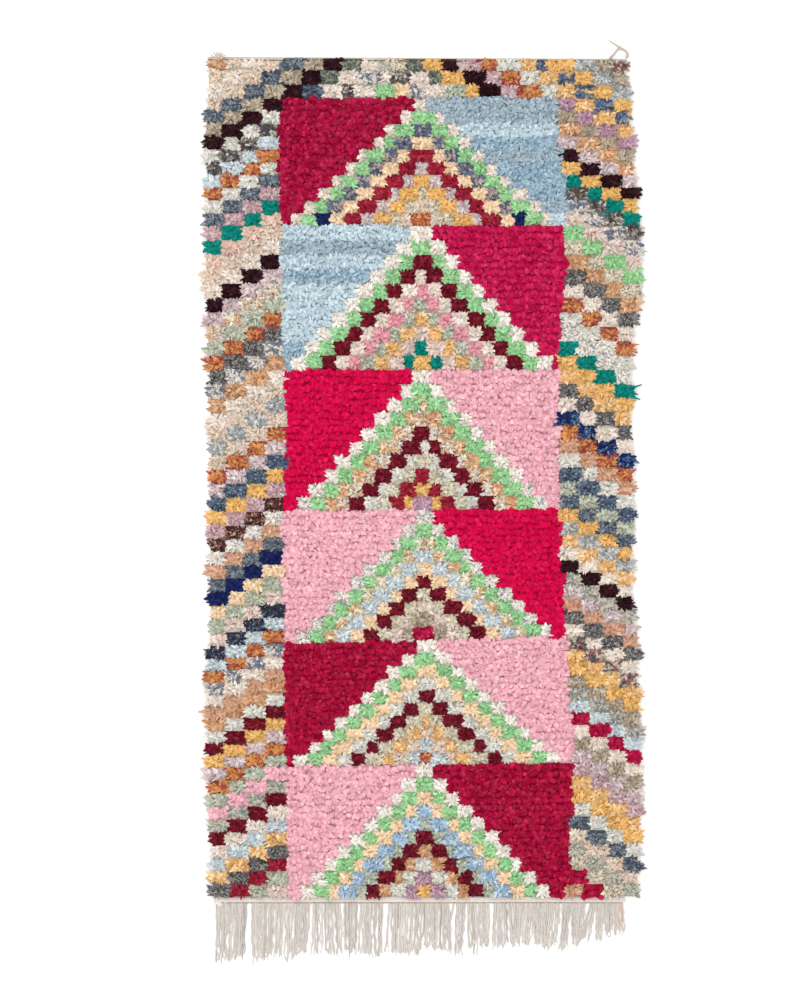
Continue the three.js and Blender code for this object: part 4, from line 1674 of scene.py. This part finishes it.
class PlainEnd(RugPart):
    """The selvedge at the plain end, with a corner tuft and a loose knotted loop of warp.

    Attributes:
        cotton: Colour of the selvedge.
        left: Place across of its left-hand end.
        right: Place across of its right-hand end.
        cords: Number of its cords.
        cord_pitch: Distance between them.
        inner_cord: Place along of the innermost one.
        shadow_cord: Place along of the dark cord between the selvedge and the first knots, which paints the
            shadow in the gaps there.
        shade: Colour of that cord of painted shadow.
        thread_pitch: Distance between the warps that the cords cross.
        loose_cord: Half the width of the loose loop's cord.
        loop_left: Places across, beyond the plain end and above the floor of the loop's left leg.
        loop_tip: The same of its loose tip.
        loop_right: The same of its right leg.
        knot: The same of its knot, all in millimetres.
        tuft: Place across and beyond the plain end of each cord's root and of its tip, in millimetres.
        tuft_cord: Half the width of the tuft's cords.
        loose_cotton: Colour of the loop and the tuft.
    """

    seed: int = 301
    cotton: Colour = (228, 220, 208)
    left: float = -492 * MM
    right: float = 472 * MM
    cords: int = 3
    cord_pitch: float = 1.7 * MM
    inner_cord: float = 5.6 * MM
    shadow_cord: float = 8.6 * MM
    shade: Colour = (84, 70, 60)
    thread_pitch: float = 2.9 * MM
    loose_cord: float = 2.6 * MM
    loop_left: Rows = (
        (432, -1, 3), (437, 4, 3), (442, 9, 2.8), (446, 14.5, 2.7), (450, 19.5, 3.2), (455, 23.5, 5),
    )  # fmt: skip
    loop_tip: Rows = (
        (455, 23.5, 5), (451, 27.5, 3.2), (446.5, 31, 2.4), (441, 34.2, 2.2), (435.5, 37.6, 2.2),
        (430.8, 42, 2),
    )  # fmt: skip
    loop_right: Rows = (
        (455, 23.5, 5), (460, 21.8, 3.8), (465.5, 19, 3.5), (471, 15, 3.5), (474.8, 8.6, 3.6),
        (470, 1.2, 3.8),
    )  # fmt: skip
    knot: tuple[float, float, float] = (455, 23.5, 3.6)
    tuft: Rows = (
        (-468, -9, -483, 0), (-467, -8, -478, 7), (-466, -8, -472, 10), (-465, -9, -466, 8),
        (-464, -8, -460, 9), (-463, -8, -455, 6), (-462, -9, -450, 1), (-463, -10, -452, -7),
        (-467, -10, -481, -8), (-465, -10, -467, -17),
    )  # fmt: skip
    tuft_cord: float = 2.5 * MM
    loose_cotton: Colour = (208, 194, 180)

    def selvedge(self) -> bpy.types.Object:
        """Twine the selvedge: cords side by side that bind the ends of the warps."""
        yarns = Yarns("end_selvedge", self.seed + 1)
        across = np.arange(self.left, self.right, self.thread_pitch)
        steps = len(across)
        for row in range(self.cords):
            along = self.inner_cord - row * self.cord_pitch + self.rng.normal(0, 0.1 * MM, steps)
            over = np.cos(np.arange(steps) * math.pi + row * math.pi)
            line = self.plan.place(across, along, 3.2 * MM - 0.5 * MM * row + 0.3 * MM * over)
            width = self.cord_pitch * 0.62 * (1 + 0.16 * over)
            yarns.cord(line, width, 1.1 * MM, tinted(self.cotton, 1, 0.02, self.rng))
        # A dark cord that stands for the shadow in the row of gaps below the first knots: painted shadow.
        line = self.plan.place(across, self.shadow_cord, 4.4 * MM)
        yarns.cord(line, 1.1 * MM, 1.1 * MM, tinted(self.shade, 1, 0, self.rng))
        return yarns.build(YarnFinish("selvedge_cotton", ply_pitch=2.0 * MM))

    def rounded(self, points: tuple[tuple[float, float, float], ...], steps: int = 26) -> np.ndarray:
        """Lay a smooth line through a few points.

        Args:
            points: Places across, beyond the plain end and above the floor, in millimetres.
            steps: Number of places on the line.

        Returns:
            Places in the frame.
        """
        given = np.array(points) * MM
        for _ in range(3):
            cut = [given[:1]]
            for near, far in zip(given[:-1], given[1:], strict=True):
                cut.append(np.stack([near * 0.75 + far * 0.25, near * 0.25 + far * 0.75]))
            given = np.concatenate([*cut, given[-1:]])
        run = np.r_[0, np.cumsum(np.linalg.norm(np.diff(given, axis=0), axis=1))]
        even = np.linspace(0, run[-1], steps)
        across, beyond, height = (np.interp(even, run, given[:, axis]) for axis in range(3))
        return self.plan.place(across, -beyond, height)

    def loose_ends(self) -> bpy.types.Object:
        """Lay the knotted loop and the corner tuft, as one piece."""
        yarns = Yarns("loose_warp_ends", self.seed + 2)
        half = self.loose_cord
        for leg, thin in ((self.loop_left, 0.9), (self.loop_tip, 0.55), (self.loop_right, 1.4)):
            line = self.rounded(leg)
            taper = np.linspace(1, thin, len(line))
            width = half * taper * (1 + self.rng.normal(0, 0.04, len(line)))
            yarns.cord(line, width, half * 0.9 * taper, tinted(self.loose_cotton, 1, 0.01, self.rng))
        across, beyond, height = self.knot
        reach, rise = 3.4, 1.6
        turns = np.arange(6) * 0.9
        for start in (0.5, 2.1, 3.4):
            circle = (across + reach * np.cos(start + turns), beyond + reach * np.sin(start + turns))
            line = self.rounded(np.stack([*circle, height + rise * np.sin(turns)], 1), 16)
            yarns.cord(line, half * 0.75, half * 0.75, tinted(self.loose_cotton, 1, 0.02, self.rng))
        for root, root_beyond, tip, tip_beyond in self.tuft:
            middle = ((root + tip) / 2, (root_beyond + tip_beyond) / 2, 27)
            points = ((root, root_beyond, 14), (root, root_beyond, 24), middle, (tip, tip_beyond, 16))
            line = self.rounded(points, 8)
            taper = np.linspace(1.0, 0.5, len(line))
            tint = tinted(self.loose_cotton, 1, 0.06, self.rng)
            yarns.cord(line, self.tuft_cord * taper, 1.2 * MM * taper, tint)
        return yarns.build(YarnFinish("loose_cotton"))

    def build(self) -> list[bpy.types.Object]:
        """Build the selvedge and the loose ends on it."""
        return [self.selvedge(), self.loose_ends()]


@dataclass
class Studio:
    """Camera straight above the rug, pale floor and soft light.

    Attributes:
        plan: Where the rug lies.
        frame_height: Height of the view at the floor.
        camera_height: Height of the camera above the floor.
        sensor: Width of its sensor, in millimetres.
        view_across: Place across of the middle of the view.
        view_along: Place along of the middle of the view.
        floor_size: Length of the floor's side.
        floor_drop: How far below the rug the floor lies.
    """

    plan: RugPlan
    frame_height: float = 2.30
    camera_height: float = 6.5
    sensor: float = 36.0
    view_across: float = -49.5 * MM
    view_along: float = 1018 * MM
    floor_size: float = 9.0
    floor_drop: float = 0.6 * MM

    def camera(self) -> None:
        """Hang the camera over the rug and make it the scene's."""
        data = bpy.data.cameras.new("camera")
        data.sensor_width = self.sensor
        data.lens = self.sensor * self.camera_height / self.frame_height
        data.clip_end = 100
        camera = bpy.data.objects.new("camera", data)
        x = self.plan.centre_x + self.view_across
        camera.location = (x, self.plan.plain_end_y - self.view_along, self.camera_height)
        bpy.context.scene.collection.objects.link(camera)
        bpy.context.scene.camera = camera

    def floor(self) -> None:
        """Lay the pale floor just under the rug."""
        bpy.ops.mesh.primitive_plane_add(size=self.floor_size, location=(0, 0, -self.floor_drop))
        floor = bpy.context.object
        floor.name = "floor"
        n = Nodes("pale_floor")
        glow = {"Emission_Color": (1, 1, 1, 1), "Emission_Strength": 0.16}
        pale = linear((250, 250, 250))
        finish = n.finish(pale, n.noise(1 / 40, 3.0), 0.02, 0.5 * MM, Roughness=0.9, **glow)
        floor.data.materials.append(finish)

    def light(self, name: str, place: tuple[float, float, float], size: float, power: float) -> None:
        """Hang a square soft light that looks at the rug's middle.

        Args:
            name: Its name.
            place: Where it hangs.
            size: Length of its side.
            power: Its power in watts.
        """
        data = bpy.data.lights.new(name, "AREA")
        data.shape = "SQUARE"
        data.size = size
        data.energy = power
        lamp = bpy.data.objects.new(name, data)
        lamp.location = place
        lamp.rotation_mode = "QUATERNION"
        lamp.rotation_quaternion = (-Vector(place)).to_track_quat("-Z", "Y")
        bpy.context.scene.collection.objects.link(lamp)

    def build(self) -> None:
        """Set up the camera, the floor, the lights and the view's colours."""
        self.camera()
        self.floor()
        self.light("key", (-2.4, 2.2, 4.4), 3.0, 96)
        self.light("fill", (1.5, -1.5, 4.5), 4.0, 46)
        world = bpy.data.worlds.new("studio")
        world.use_nodes = True
        background = world.node_tree.nodes["Background"]
        background.inputs["Color"].default_value = (1, 1, 1, 1)
        background.inputs["Strength"].default_value = 0.85
        bpy.context.scene.world = world
        bpy.context.scene.view_settings.view_transform = "Standard"


def dress(pieces: list[bpy.types.Object], node: str) -> None:
    """Fix pieces to the rug and let them stand for a node, which is hidden.

    Args:
        pieces: The pieces.
        node: Node that they replace.
    """
    for piece in pieces:
        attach(piece, "root")
        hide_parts(node)


# How far the knotted field's middle and plain end lie from its solid's box.
CENTRE_INSET = 3.5 * MM
PLAIN_END_INSET = 2.5 * MM


def main() -> None:
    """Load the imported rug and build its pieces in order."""
    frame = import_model()
    bpy.ops.object.select_all(action="DESELECT")
    low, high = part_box("pile_field")
    plan = RugPlan(centre_x=(low.x + high.x) / 2 - CENTRE_INSET, plain_end_y=high.y - PLAIN_END_INSET)
    chart = ColourChart(plan)
    Studio(plan).build()
    ground = GroundWeave(plan, chart).build()
    pile = [RagBed(plan, chart).build(), *KnottedPile(plan, chart).build()]
    heading = FringedHeading(plan).build()
    plain_end = PlainEnd(plan).build()
    dress([ground, *pile], "pile_field")
    dress(heading, "heading_fringe")
    dress(plain_end, "plain_end_selvedge")
    LOG.info("%d nodes dressed", len(frame["nodes"]))


if __name__ == "__main__":
    logging.basicConfig(level=logging.INFO, format="%(name)s: %(message)s")
    main()
